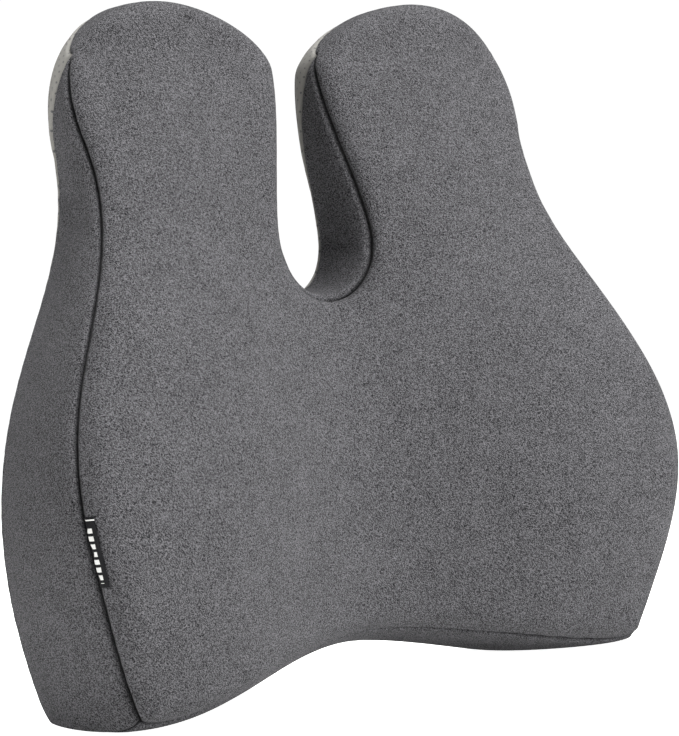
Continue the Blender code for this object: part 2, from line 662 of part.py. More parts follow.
def main():
    clear_scene()
    velour = make_material("velour", (0.17, 0.17, 0.18), 0.9)
    backing = make_material("backing", (0.42, 0.41, 0.38), 0.85)
    foam = make_material("foam", (0.82, 0.80, 0.74), 0.95)
    jersey = make_material("jersey", (0.85, 0.85, 0.84), 0.9)
    webbing = make_material("zip_cloth", (0.10, 0.10, 0.11), 0.8)
    nylon = make_material("nylon", (0.08, 0.08, 0.09), 0.45)
    metal = make_material("metal", (0.30, 0.30, 0.32), 0.35, 1.0)
    woven = make_material("label_cloth", (0.02, 0.02, 0.02), 0.7)

    surface = Surface()
    for name in ("front_panel", "side_panel_left", "side_panel_right", "channel_panel",
                 "bottom_panel"):
        surface.panel(name, velour)
    back = surface.panel("back_panel", backing)
    liner_top = COVER_THICKNESS + GAP
    liner = surface.sleeve("inner_liner", liner_top, liner_top + LINER_THICKNESS, jersey)
    core = surface.solid("foam_core", liner_top + LINER_THICKNESS + GAP, foam)

    zip_ = Zip(surface.back)
    cut_for_zip(zip_, back, liner, core, webbing)
    add_zip_tapes(zip_, webbing)
    add_zip_coils(zip_, nylon)
    add_zip_stops(zip_, metal)
    slider = add_zip_slider(zip_, metal)
    add_zip_pull(zip_, slider, metal)
    add_label(surface, woven)


main()
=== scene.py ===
"""The looks of a lumbar support cushion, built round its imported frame.

Metres, +Z up, the hollow front towards -Y, the flat back towards +Y.  One outside form is
worked out as grids: ribs that run from the front face over the rolled rim, across the side
panels and round the back edge, and two face grids that fill the front and the back.  The
cover is stuffed by a cloth simulation on a coarse copy, then cut into its sewn panels.
"""
import json

import bpy
import numpy as np
from bpy.props import FloatProperty, FloatVectorProperty, IntProperty, PointerProperty
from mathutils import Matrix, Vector

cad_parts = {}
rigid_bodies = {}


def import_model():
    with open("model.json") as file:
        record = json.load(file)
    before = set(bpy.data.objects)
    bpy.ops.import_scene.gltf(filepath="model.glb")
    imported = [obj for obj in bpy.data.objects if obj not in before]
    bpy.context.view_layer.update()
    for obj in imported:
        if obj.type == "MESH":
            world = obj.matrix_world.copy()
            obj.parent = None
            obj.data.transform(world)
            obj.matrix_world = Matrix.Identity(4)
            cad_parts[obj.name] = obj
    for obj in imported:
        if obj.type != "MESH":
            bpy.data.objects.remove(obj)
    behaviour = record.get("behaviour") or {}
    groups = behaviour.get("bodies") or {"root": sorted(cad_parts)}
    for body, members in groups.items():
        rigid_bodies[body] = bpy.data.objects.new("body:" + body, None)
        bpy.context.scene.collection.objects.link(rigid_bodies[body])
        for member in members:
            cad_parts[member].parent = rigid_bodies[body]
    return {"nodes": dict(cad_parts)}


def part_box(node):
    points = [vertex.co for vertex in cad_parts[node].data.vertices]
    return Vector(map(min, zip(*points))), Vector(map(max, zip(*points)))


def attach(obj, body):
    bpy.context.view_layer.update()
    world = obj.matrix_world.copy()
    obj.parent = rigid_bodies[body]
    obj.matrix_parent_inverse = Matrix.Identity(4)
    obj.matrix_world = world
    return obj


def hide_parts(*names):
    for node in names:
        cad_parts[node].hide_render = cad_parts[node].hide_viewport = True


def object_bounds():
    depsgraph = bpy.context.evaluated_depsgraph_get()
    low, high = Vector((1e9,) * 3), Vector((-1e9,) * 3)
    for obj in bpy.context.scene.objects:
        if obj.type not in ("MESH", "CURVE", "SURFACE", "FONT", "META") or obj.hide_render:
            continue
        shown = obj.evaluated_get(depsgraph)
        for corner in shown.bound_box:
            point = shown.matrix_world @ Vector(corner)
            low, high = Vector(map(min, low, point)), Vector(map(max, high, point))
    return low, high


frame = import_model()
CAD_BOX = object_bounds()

bl_info = {
    "name": "Lumbar support cushion",
    "version": (1, 0, 0),
    "blender": (4, 5, 0),
    "location": "View3D > Sidebar > Cushion",
    "description": "Makes a velour-covered lumbar support cushion and the stage it stands on",
    "category": "Object",
}

MM = 0.001

# How the outline's arcs leave and reach its named places, as steps in metres
ARCH_REACH = 0.058
CORNER_BOTTOM_STEP = (-0.0215, -0.0135)
CORNER_SIDE_STEP = (0.0155, 0.036)
WING_LOWER_REACH, WING_UPPER_REACH = 0.034, 0.082
WAIST_LOWER_STEP = (-0.0135, -0.076)
WAIST_UPPER_STEP = (0.011, 0.057)
LOBE_OUTER_REACH, LOBE_INNER_REACH = 0.043, 0.034
MOUTH_UPPER_REACH, MOUTH_LOWER_REACH = 0.021, 0.030
CHANNEL_UPPER_REACH, CHANNEL_LOWER_REACH = 0.025, 0.023
CHANNEL_FLOOR_REACH = 0.0195

# Depths from the flat back to the front seam, and edge shapes, at fractions of the height
DEPTH_LEVELS = (0.0, 0.24, 0.48, 0.71, 0.92)
SIDE_DEPTHS = (0.099, 0.117, 0.0965, 0.063, 0.0355)
CENTRE_DEPTHS = (0.058, 0.066, 0.055, 0.048, 0.032)
HUG = 4
RIM_LEVELS = (0.0, 0.15, 0.40, 0.62, 0.80, 1.0)
RIM_RADII = (0.013, 0.016, 0.016, 0.007, 0.011, 0.012)
FLARE_LEVELS = (0.0, 0.14, 0.33, 0.62, 1.0)
FLARES = (0.0120, 0.0048, -0.0070, -0.0060, -0.0070)
BULGE_LEVELS = (0.0, 0.06, 0.25, 0.62)
BULGES = (0.0080, 0.0080, 0.0050, 0.001)
CHANNEL_LEVELS = (0.53, 0.64, 0.82, 0.93)
CHANNEL_FLARES = (0.0040, 0.0045, 0.0005, -0.0035)
CHANNEL_BULGE = 0.0015
SHOULDER, SHOULDER_DEPTH = 0.0042, 0.0020   # how far and how soon a gusset stands out of its seam
ARCH_SHARE = 0.75                # share of the swelling that the bottom's middle keeps
LOBE_WRAP = 0.55                 # angle by which the front panel laps round the lobes' tops
BACK_PUFF = 0.10                 # how far the back cloth swells beyond its seam, by its depth
BACK_ROLL_DEPTH, BACK_ROLL_INSET = 0.006, 0.009
TAPER_START, TIP_DROP = 0.270, 0.032
FLOOR_ROW_HEIGHT = 0.190
CORNER_LIFT = 0.00755            # the corner seams' height above the floor
CHORD = 0.015                    # half the chord that gives the outline's direction

# Steps of the coarse grids that the simulation uses; the fine grids have FINER times as many
ACROSS, CENTRE, CHANNEL = 26, 30, 24
RIM_STEPS, SIDE_STEPS, BACK_STEPS = 4, 12, 4
FINER = 3
OUTER = CENTRE + CHANNEL
EVENING_PASSES = 80
MOVE_PASSES = 14
SEAM_CROWDING = 0.7              # how much closer the grid's lines lie beside a seam

FRONT, SIDE_RIGHT, SIDE_LEFT, CHANNEL_SIDE, BOTTOM, BACK = range(6)


def length(name, description, default, low=0.0, high=1.0):
    return FloatProperty(name=name, description=description, default=default,
                         min=low, max=high, unit="LENGTH", subtype="DISTANCE", precision=4)


def colour(name, description, default):
    return FloatVectorProperty(name=name, description=description, default=default,
                               size=3, min=0.0, max=1.0, subtype="COLOR")


class CushionShape(bpy.types.PropertyGroup):
    arch_rise: length("Arch rise", "Height of the bottom seam's middle above its corners", 0.0235)
    corner_half_width: length("Corner half width", "Middle to where bottom and side seams meet",
                              0.182)
    wing_half_width: length("Wing half width", "Middle to the widest point of a wing", 0.2145)
    wing_height: length("Wing height", "Height of the widest point", 0.125)
    waist_half_width: length("Waist half width", "Middle to the outer side of a lobe", 0.1605)
    waist_height: length("Waist height", "Height of the waist", 0.333)
    lobe_middle: length("Lobe middle", "Middle to the highest point of a lobe", 0.096)
    top_height: length("Top height", "Height of the lobes' tops", 0.420)
    mouth_half_width: length("Mouth half width", "Half the narrowest gap between the lobes",
                             0.0165)
    mouth_height: length("Mouth height", "Height of the narrowest gap", 0.377)
    channel_half_width: length("Channel half width", "Half the widest gap of the channel", 0.0345)
    channel_wide_height: length("Channel wide height", "Height of the widest gap", 0.270)
    channel_floor_height: length("Channel floor height", "Height of the channel's floor", 0.230)


class CushionSewing(bpy.types.PropertyGroup):
    cover_thickness: length("Cover thickness", "Pile and ground cloth together", 0.0012)
    slack: length("Stuffing", "How far the unstuffed cover lies inside its full shape", 0.0005)
    swell_limit: length("Swell limit", "Furthest that stuffing may move the cover", 0.0034)
    seam_depth: length("Seam depth", "How far a seam's crease sinks below its lips", 0.0014)
    seam_width: length("Seam width", "From the crease to its lip", 0.0023)
    lip_height: length("Lip height", "How far the cloth stands up beside a seam", 0.00035)
    pucker_height: length("Pucker", "Height of the small gathers along a seam", 0.00035)
    pucker_length: length("Pucker length", "Distance from gather to gather", 0.013)
    pressure: FloatProperty(name="Pressure", description="Stuffing pressure of the simulation",
                            default=4.0, min=0.0, max=20.0)
    frames: IntProperty(name="Frames", description="Length of the simulation", default=20,
                        min=2, max=60)


class CushionColours(bpy.types.PropertyGroup):
    velour: colour("Velour", "Main colour of the grey velour", (0.128, 0.126, 0.134))
    velour_dark: colour("Velour against the nap", "Where the nap lies away from the light",
                        (0.003, 0.003, 0.0035))
    backing: colour("Back cloth", "Light warm grey of the back", (0.25, 0.244, 0.228))
    grip: colour("Grip dots", "Small rubbery dots on the back", (0.10, 0.10, 0.10))
    foam: colour("Foam", "Moulded slow-recovery foam", (0.82, 0.79, 0.70))
    jersey: colour("Liner", "Thin knitted liner", (0.83, 0.83, 0.81))
    zip_cloth: colour("Zip tape", "Woven tape of the zip", (0.085, 0.085, 0.092))
    nylon: colour("Zip coil", "Nylon coil of the zip", (0.06, 0.06, 0.066))
    metal: colour("Zip hardware", "Slider, pull and stops", (0.30, 0.30, 0.32))
    label: colour("Label ground", "Black woven label", (0.006, 0.006, 0.007))
    label_marks: colour("Label marks", "Light threads of the label", (0.72, 0.72, 0.70))


class CushionStudio(bpy.types.PropertyGroup):
    front_power: FloatProperty(name="Front light", description="Low, in front and to the right",
                               default=114.0, min=0.0, unit="POWER")
    high_power: FloatProperty(name="High light", description="High up in front",
                              default=108.0, min=0.0, unit="POWER")
    top_power: FloatProperty(name="Top light", description="Straight above",
                             default=64.0, min=0.0, unit="POWER")
    side_power: FloatProperty(name="Side light", description="Weaker, from the left",
                              default=34.0, min=0.0, unit="POWER")
    surround: FloatProperty(name="Surround", description="Strength of the white surround",
                            default=1.02, min=0.0, max=4.0)
    ambient: FloatProperty(name="Ambient", description="Light that the surround sheds",
                           default=0.04, min=0.0, max=4.0)
    floor_glow: FloatProperty(name="Floor glow", description="How white the floor looks",
                              default=1.0, min=0.0, max=2.0)
    floor_radius: length("Floor radius", "Radius of the pale floor", 6.0, 0.5, 20.0)


# --- The outside form --------------------------------------------------------------------------

def smooth_through(levels, values, at):
    """Cubic through the values at the levels, flat outside them; each slope is the mean of
    the secants on its two sides."""
    levels, values = np.asarray(levels), np.asarray(values)
    at = np.clip(at, levels[0], levels[-1])
    secants = np.diff(values) / np.diff(levels)
    slopes = np.concatenate(([secants[0]], (secants[1:] + secants[:-1]) / 2, [secants[-1]]))
    index = np.clip(np.searchsorted(levels, at) - 1, 0, len(levels) - 2)
    width = levels[index + 1] - levels[index]
    t = (at - levels[index]) / width
    start = values[index] * (1 + 2 * t) * (1 - t) ** 2 + slopes[index] * width * t * (1 - t) ** 2
    end = values[index + 1] * t * t * (3 - 2 * t) - slopes[index + 1] * width * t * t * (1 - t)
    return start + end


def finer(grid, factor):
    """The grid with factor times as many steps along its first axis: a cubic between each
    pair of neighbours whose slopes are the central differences."""
    slope = np.gradient(grid, axis=0)
    t = (np.arange(factor) / factor).reshape((1, factor) + (1,) * (grid.ndim - 1))
    start, end = grid[:-1, None], grid[1:, None]
    body = (start * (1 + 2 * t) * (1 - t) ** 2 + slope[:-1, None] * t * (1 - t) ** 2
            + end * t * t * (3 - 2 * t) - slope[1:, None] * t * t * (1 - t))
    return np.concatenate([body.reshape((-1,) + grid.shape[1:]), grid[-1:]])


def finer_both(grid, factor):
    return finer(finer(grid, factor).swapaxes(0, 1), factor).swapaxes(0, 1)


def arc(start, start_step, end_step, end, count=400):
    """Bezier arc; its handles are given as steps from their own ends."""
    t = np.linspace(0.0, 1.0, count)[:, None]
    start, end = np.array(start), np.array(end)
    first, second = start + np.array(start_step), end + np.array(end_step)
    return ((1 - t) ** 3 * start + 3 * (1 - t) ** 2 * t * first
            + 3 * (1 - t) * t * t * second + t ** 3 * end)


def join(*lines):
    return np.concatenate([lines[0]] + [line[1:] for line in lines[1:]])


def distance_along(points):
    """Length of the line from its start to each of its points."""
    steps = np.linalg.norm(np.diff(points, axis=0), axis=-1)
    return np.concatenate([np.zeros((1,) + steps.shape[1:]), np.cumsum(steps, axis=0)])


def crowd(count, at_start, at_end):
    """Numbers from 0 to 1 that lie closer together towards a seam at either end: each is t
    plus a sine or a parabola that takes away part of the spacing there."""
    t = np.linspace(0.0, 1.0, count + 1)
    if at_start and at_end:
        return t - SEAM_CROWDING * np.sin(2 * np.pi * t) / (2 * np.pi)
    if at_end:
        return t + SEAM_CROWDING * t * (1 - t)
    if at_start:
        return t - SEAM_CROWDING * t * (1 - t)
    return t


def resample(points, count, at_start=False, at_end=False):
    """The same line at count steps along its length."""
    along = distance_along(points)
    wanted = along[-1] * crowd(count, at_start, at_end)
    return np.stack([np.interp(wanted, along, points[:, i]) for i in (0, 1)], axis=1)


def half_outline(shape):
    """Right half of the front seam as three lines: bottom edge, outer edge, inner edge."""
    corner = (shape.corner_half_width, 0.0)
    wing = (shape.wing_half_width, shape.wing_height)
    waist = (shape.waist_half_width, shape.waist_height)
    top = (shape.lobe_middle, shape.top_height)
    mouth = (shape.mouth_half_width, shape.mouth_height)
    wide = (shape.channel_half_width, shape.channel_wide_height)
    floor = (0.0, shape.channel_floor_height)
    bottom = arc((0.0, shape.arch_rise), (ARCH_REACH, 0.0), CORNER_BOTTOM_STEP, corner)
    outer = join(arc(corner, CORNER_SIDE_STEP, (0.0, -WING_LOWER_REACH), wing),
                 arc(wing, (0.0, WING_UPPER_REACH), WAIST_LOWER_STEP, waist),
                 arc(waist, WAIST_UPPER_STEP, (LOBE_OUTER_REACH, 0.0), top))
    inner = join(arc(top, (-LOBE_INNER_REACH, 0.0), (0.0, MOUTH_UPPER_REACH), mouth),
                 arc(mouth, (0.0, -MOUTH_LOWER_REACH), (0.0, CHANNEL_UPPER_REACH), wide),
                 arc(wide, (0.0, -CHANNEL_LOWER_REACH), (CHANNEL_FLOOR_REACH, 0.0), floor))
    return bottom, outer, inner


def outward(points):
    """Unit normals of the half outline, pointing out of the cushion.  The direction at a
    point is that of a chord of fixed length about it; the line is mirrored past its ends."""
    flip = np.array((-1.0, 1.0))
    line = join(points[::-1] * flip, points, points[::-1] * flip)
    along = distance_along(line)
    middle = along[len(points) - 1:2 * len(points) - 1]
    ends = [np.stack([np.interp(middle + step, along, line[:, i]) for i in (0, 1)], axis=1)
            for step in (-CHORD, CHORD)]
    chord = ends[1] - ends[0]
    normals = np.stack([chord[:, 1], -chord[:, 0]], axis=1)
    normals[0], normals[-1] = (0.0, -1.0), (0.0, 1.0)
    return normals / np.linalg.norm(normals, axis=1)[:, None]


class Form:
    """The cushion's outside, detail times as fine as the coarse grids."""

    def __init__(self, shape, detail):
        self.shape, self.detail = shape, detail
        self.bottom, self.outer, self.inner = half_outline(shape)
        self.across, self.centre = ACROSS * detail, CENTRE * detail
        self.channel, self.side = CHANNEL * detail, OUTER * detail
        self.rim_steps, self.side_steps = RIM_STEPS * detail, SIDE_STEPS * detail
        self.back_steps = BACK_STEPS * detail
        self.ribs = self.make_ribs()
        self.front = self.fill_face(self.ribs[:, 0])
        surface = self.front_depth(self.front[..., [0, 2]])
        self.front[1:-1, 1:-1, 1] = surface[1:-1, 1:-1]
        self.front[1:self.centre, 0, 1] = surface[1:self.centre, 0]
        self.back = self.fill_face(self.ribs[:, -1])

    def seam_depth(self, points):
        """Depth of the front seam surface at x, z points: the hollow middle's depth plus a
        rise towards the outer edge that goes as one minus the fourth power of one minus the
        squared fraction of the half width."""
        level = points[..., 1] / self.shape.top_height
        half_width = np.interp(points[..., 1], self.outer[:, 1], self.outer[:, 0])
        across = np.clip(np.abs(points[..., 0]) / half_width, 0.0, 1.0)
        side = smooth_through(DEPTH_LEVELS, SIDE_DEPTHS, level)
        centre = smooth_through(DEPTH_LEVELS, CENTRE_DEPTHS, level)
        return centre + (side - centre) * (1 - (1 - across ** 2) ** HUG)

    def rim_rise(self, points):
        return smooth_through(RIM_LEVELS, RIM_RADII, points[..., 1] / self.shape.top_height)

    def front_depth(self, points):
        return self.seam_depth(points) + self.rim_rise(points)

    def outline(self):
        """The half outline at the grid's steps, crowded towards the corner seam."""
        tip = self.shape.top_height - TIP_DROP
        outer_tip = np.argmax(self.outer[:, 1] >= tip)
        inner_tip = np.argmax(self.inner[:, 1] <= tip)
        row = np.argmax(self.outer[:, 1] >= FLOOR_ROW_HEIGHT)
        return join(resample(self.bottom, self.across, at_end=True),
                    resample(self.outer[:row + 1], self.centre, at_start=True),
                    resample(self.outer[row:outer_tip + 1], self.channel),
                    resample(join(self.outer[outer_tip:], self.inner[:inner_tip + 1]),
                             self.across),
                    resample(self.inner[inner_tip:], self.channel))

    def make_ribs(self):
        """Ribs as x, depth from the back, z.  Each is a quarter circle over the front rim, a
        side that flares, bulges and stands out of its seam by a small shoulder, and a quarter
        of a squarish oval at the back.  All three grow along the bottom from its middle to
        its ends, by a power of the place; on the lobes the side is left out."""
        outline = self.outline()
        normals = outward(outline)
        lobe_start = self.across + self.side
        channel_start = lobe_start + self.across
        index = np.arange(len(outline))
        top = self.shape.top_height
        level = outline[:, 1] / top
        depth = self.seam_depth(outline)
        in_channel = index > channel_start
        on_lobe = (index >= lobe_start) & (index <= channel_start)

        rise = np.clip((outline[:, 1] - TAPER_START) / (top - TIP_DROP - TAPER_START), 0, 1)
        back_depth = BACK_ROLL_DEPTH + (depth - BACK_ROLL_DEPTH) * rise ** 4
        back_depth = np.where(on_lobe, depth, back_depth)
        flare = np.where(in_channel, smooth_through(CHANNEL_LEVELS, CHANNEL_FLARES, level),
                         smooth_through(FLARE_LEVELS, FLARES, level))
        flare = flare * (depth - back_depth) / depth
        bulge = np.where(in_channel, CHANNEL_BULGE, smooth_through(BULGE_LEVELS, BULGES, level))
        bulge = np.where(on_lobe, 0.0, bulge * (1 - rise))
        arch = np.clip(index / self.across, 0, 1) ** 1.5
        flare, bulge = (part * (ARCH_SHARE + (1 - ARCH_SHARE) * arch) for part in (flare, bulge))
        shoulder = np.where(on_lobe, 0.0, SHOULDER * (1 - rise ** 4)) * arch
        rim = smooth_through(RIM_LEVELS, RIM_RADII, level)
        inset = BACK_ROLL_INSET + 0.3 * (back_depth - BACK_ROLL_DEPTH)

        lobe = np.clip((index - lobe_start) / self.across, 0, 1)
        wrap = LOBE_WRAP * np.sqrt(np.sin(np.pi * lobe)) * on_lobe
        puff = BACK_PUFF * (back_depth - BACK_ROLL_DEPTH)

        def back_roll(angle):
            shift = flare + shoulder + puff * np.sin(2 * angle) - inset * (1 - np.cos(angle))
            return outline + normals * shift[:, None], back_depth * (1 - np.sin(angle))

        rows = []
        for s in crowd(self.rim_steps, False, True):
            angle = s * (0.5 * np.pi + wrap)
            turn = np.minimum(angle, 0.5 * np.pi)
            face = outline - normals * (rim * (1 - np.sin(turn)))[:, None]
            face_depth = self.seam_depth(face) + self.rim_rise(face) * np.cos(turn)
            beyond, beyond_depth = back_roll(np.maximum(angle - 0.5 * np.pi, 0.0))
            past = angle > 0.5 * np.pi
            rows.append((np.where(past[:, None], beyond, face),
                         np.where(past, beyond_depth, face_depth)))
        seam, seam_depth = rows[-1]
        for t in crowd(self.side_steps, True, True)[1:]:
            side_depth = depth + (back_depth - depth) * t
            out = 1 - np.exp(-(depth - side_depth) / SHOULDER_DEPTH)
            out /= np.maximum(1 - np.exp(-(depth - back_depth) / SHOULDER_DEPTH), 1e-6)
            shift = flare * t + bulge * 4 * t * (1 - t) + shoulder * out
            rows.append((np.where(on_lobe[:, None], seam, outline + normals * shift[:, None]),
                         np.where(on_lobe, seam_depth, side_depth)))
        for s in crowd(self.back_steps, True, False)[1:]:
            rows.append(back_roll(wrap + s * (0.5 * np.pi - wrap)))
        ribs = np.stack([np.stack([p[:, 0], d, p[:, 1]], axis=1) for p, d in rows], axis=1)
        ribs[0, :, 0] = 0.0
        ribs[-1, :, 0] = 0.0
        return ribs

    def fill_face(self, edge):
        """Grid between the four sides of a closed half line: the sum of the two straight
        blends between facing sides less the blend of the corners, then evened by averages."""
        bottom = edge[:self.across + 1]
        outer = edge[self.across:self.across + self.side + 1]
        lobe_start = self.across + self.side
        top = edge[lobe_start:lobe_start + self.across + 1][::-1]
        channel = edge[-self.channel - 1:][::-1]
        inner = join(np.linspace(bottom[0], channel[0], self.centre + 1), channel)
        u = np.linspace(0.0, 1.0, self.across + 1)[None, :, None]
        v = np.linspace(0.0, 1.0, self.side + 1)[:, None, None]
        grid = ((1 - u) * inner[:, None] + u * outer[:, None]
                + (1 - v) * bottom[None] + v * top[None]
                - (1 - u) * (1 - v) * bottom[0] - u * (1 - v) * bottom[-1]
                - (1 - u) * v * top[0] - u * v * top[-1])
        for _ in range(EVENING_PASSES * self.detail ** 2):
            grid[1:-1, 1:-1] = (grid[1:-1, :-2] + grid[1:-1, 2:]
                                + grid[:-2, 1:-1] + grid[2:, 1:-1]) / 4
        return grid


def quads_of(ids):
    """Quads of a grid of vertex numbers."""
    return np.stack([ids[:-1, :-1], ids[:-1, 1:], ids[1:, 1:], ids[1:, :-1]],
                    axis=-1).reshape(-1, 4)


def triangles_of(quads):
    """Two triangles for each quad, without those that have two corners in one place."""
    both = np.concatenate([quads[:, [0, 1, 2]], quads[:, [0, 2, 3]]])
    keep = ((both[:, 0] != both[:, 1]) & (both[:, 1] != both[:, 2]) & (both[:, 2] != both[:, 0]))
    return both[keep], np.flatnonzero(keep) % len(quads)


def vertex_normals(points, triangles):
    """Sum of the cross products of the triangles at each vertex, made one long."""
    corners = points[triangles]
    crosses = np.cross(corners[:, 1] - corners[:, 0], corners[:, 2] - corners[:, 0])
    normals = np.stack([np.bincount(triangles.ravel(), np.repeat(crosses[:, i], 3),
                                    minlength=len(points)) for i in range(3)], axis=1)
    return normals / np.maximum(np.linalg.norm(normals, axis=1), 1e-12)[:, None]


class Skin:
    """Both halves of a form as one closed surface of triangles, in the object's frame."""

    def __init__(self, form):
        self.form = form
        grids = (form.ribs, form.front, form.back)
        half = np.concatenate([grid.reshape(-1, 3) for grid in grids])
        both = np.concatenate([half, half * (-1.0, 1.0, 1.0)])
        keys = np.round(both / (0.01 * MM)).astype(int)
        _, first, number = np.unique(keys, axis=0, return_index=True, return_inverse=True)
        self.number = number.reshape(2, -1)
        welded = both[first]
        self.points = np.stack([welded[:, 0], CAD_BOX[1][1] - welded[:, 1],
                                welded[:, 2] + CORNER_LIFT], axis=1)
        self.shapes = [grid.shape[:2] for grid in grids]
        self.starts = np.cumsum([0] + [rows * columns for rows, columns in self.shapes])
        self.triangles, self.owners = self.make_triangles()
        self.normals = vertex_normals(self.points, self.triangles)

    def ids(self, grid, half):
        """Vertex numbers of grid 0, the ribs, 1, the front, or 2, the back, of one half."""
        part = self.number[half, self.starts[grid]:self.starts[grid + 1]]
        return part.reshape(self.shapes[grid])

    def make_triangles(self):
        form = self.form
        rows, columns = self.shapes[0]
        owner = np.full((rows - 1, columns - 1), BACK)
        sides = slice(form.rim_steps, form.rim_steps + form.side_steps)
        owner[:, :form.rim_steps] = FRONT
        owner[:, sides] = CHANNEL_SIDE
        owner[:2 * form.across + form.side, sides] = FRONT
        owner[:form.across + form.side, sides] = SIDE_RIGHT
        owner[:form.across, sides] = BOTTOM
        quads, owners = [], []
        for half in (0, 1):
            turn = slice(None, None, -1) if half else slice(None)
            back = slice(None) if half else slice(None, None, -1)
            ribs = quads_of(self.ids(0, half))[:, turn]
            front = quads_of(self.ids(1, half))[:, turn]
            behind = quads_of(self.ids(2, half))[:, back]
            quads += [ribs, front, behind]
            rib_owner = np.where(owner == SIDE_RIGHT, SIDE_LEFT, owner) if half else owner
            owners += [rib_owner.ravel(), np.full(len(front), FRONT), np.full(len(behind), BACK)]
        triangles, source = triangles_of(np.concatenate(quads))
        return triangles, np.concatenate(owners)[source]

    def seam_distances(self):
        """For each rib point: how far it lies from the front or back seam, from the corner
        seam, and along the ribs' common direction."""
        ribs, form = self.form.ribs, self.form
        along = distance_along(ribs)
        across = distance_along(ribs.swapaxes(0, 1)).T
        first, last = form.rim_steps, form.rim_steps + form.side_steps
        edges = np.minimum(abs(across - across[:, [first]]), abs(across - across[:, [last]]))
        steps = np.arange(ribs.shape[1])
        corner = abs(along - along[form.across])
        corner = np.where((steps >= first) & (steps <= last), corner, 1.0)
        return edges, corner, along

    def spread(self, values, rest=0.0):
        """One number per vertex from one per rib point; the faces take the rest value."""
        field = np.full((len(self.points),) + values.shape[2:], rest)
        for half in (0, 1):
            field[self.ids(0, half)] = values
        return field

    def seam_relief(self, sewing):
        """Height of the cloth over its smooth shape: down into the crease as the square of
        the distance to it, a rounded lip beside it, and gathers that fade away from it."""
        edges, corner, along = self.seam_distances()
        nearest = np.minimum(edges, corner)
        width = sewing.seam_width
        crease = np.clip(1 - nearest / width, 0, 1) ** 2
        lip = np.exp(-((nearest - 1.7 * width) / (0.8 * width)) ** 2)
        turn = 2 * np.pi * along / sewing.pucker_length
        wave = 0.5 + 0.5 * np.cos(turn + 1.7 * np.sin(turn / 3.6))
        gather = wave * np.clip(1 - edges / (3.2 * width), 0, 1) ** 2
        height = (sewing.lip_height * lip - sewing.seam_depth * crease
                  - sewing.pucker_height * gather)
        return self.spread(height)

    def creases(self, width):
        """Strength of the painted shade beside the seams: one at a seam, falling in a straight line to
        nothing at the width.
        """
        edges, corner, _ = self.seam_distances()
        return self.spread(np.clip(1 - np.minimum(edges, corner) / width, 0, 1))

    def panel(self, owner):
        """Vertex numbers and triangles of one sewn panel."""
        chosen = self.triangles[self.owners == owner]
        numbers, local = np.unique(chosen, return_inverse=True)
        return numbers, local.reshape(-1, 3)


def stuffing(skin, sewing):
    """How the cover's points move when it is stuffed.  The cover starts a little inside its
    full shape with its seams held, swells under even pressure in the cloth simulation, and
    each move is limited smoothly by a hyperbolic tangent."""
    edges, corner, _ = skin.seam_distances()
    nearest = skin.spread(np.minimum(edges, corner), 1.0)
    start = skin.points - skin.normals * sewing.slack
    cover = make_mesh("stuffing_form", start, skin.triangles)
    held = cover.vertex_groups.new(name="seams")
    held.add([int(i) for i in np.flatnonzero(nearest < 1e-6)], 1.0, "REPLACE")
    cloth = cover.modifiers.new("stuffing", "CLOTH")
    cloth.settings.vertex_group_mass = "seams"
    cloth.settings.use_pressure = True
    cloth.settings.uniform_pressure_force = sewing.pressure
    cloth.settings.effector_weights.gravity = 0.0
    cloth.point_cache.frame_start, cloth.point_cache.frame_end = 1, sewing.frames
    scene = bpy.context.scene
    for number in range(1, sewing.frames + 1):
        scene.frame_set(number)
    evaluated = cover.evaluated_get(bpy.context.evaluated_depsgraph_get())
    swollen = np.empty(3 * len(start))
    evaluated.data.vertices.foreach_get("co", swollen)
    bpy.data.objects.remove(cover, do_unlink=True)
    scene.frame_set(1)
    move = swollen.reshape(-1, 3) - start
    size = np.linalg.norm(move, axis=1)
    limit = sewing.swell_limit
    move *= (np.tanh(size / limit) * limit / np.maximum(size, 1e-9))[:, None]
    return move - skin.normals * sewing.slack


def evened(halves, passes):
    """The moves of a face's two halves, evened by averaging neighbours.  The borders stay,
    and below the channel each half's first column has the other half's second beside it."""
    for _ in range(passes):
        middle = sum(half[:CENTRE - 1, 0] + half[2:CENTRE + 1, 0] for half in halves) / 8
        middle += (halves[0][1:CENTRE, 1] + halves[1][1:CENTRE, 1]) / 4
        for half in halves:
            half[1:-1, 1:-1] = (half[1:-1, :-2] + half[1:-1, 2:]
                                + half[:-2, 1:-1] + half[2:, 1:-1]) / 4
            half[1:CENTRE, 0] = middle
    return halves


def stuffed_skin(context):
    """The fine skin with the coarse simulation's moves and the seams' relief."""
    scene = context.scene
    coarse = Skin(Form(scene.cushion_shape, 1))
    move = stuffing(coarse, scene.cushion_sewing)
    skin = Skin(Form(scene.cushion_shape, FINER))
    fine = np.zeros_like(skin.points)
    for grid in (1, 2):
        halves = evened([move[coarse.ids(grid, half)] for half in (0, 1)], MOVE_PASSES)
        for half in (0, 1):
            fine[skin.ids(grid, half)] = finer_both(halves[half], FINER)
    for half in (0, 1):
        fine[skin.ids(0, half)] = finer_both(move[coarse.ids(0, half)], FINER)
    low, high = zip_box()
    beside = np.maximum(np.abs(skin.points - (low + high) / 2) - (high - low) / 2, 0)
    beside = np.hypot(beside[:, 0], beside[:, 2])
    behind = skin.points[:, 1] > CAD_BOX[1][1] - 0.5 * MM
    fine[:, 1] *= np.where(behind, np.clip(beside / FLAT_ROUND_ZIP, 0, 1) ** 2, 1.0)
    relief = skin.seam_relief(scene.cushion_sewing)
    skin.points = skin.points + fine + skin.normals * relief[:, None]
    height = skin.points[:, 2]
    skin.points[:, 2] = (height + np.hypot(height, FOOT_ROUNDING)) / 2
    skin.normals = vertex_normals(skin.points, skin.triangles)
    return skin


# --- Meshes --------------------------------------------------------------------------------------

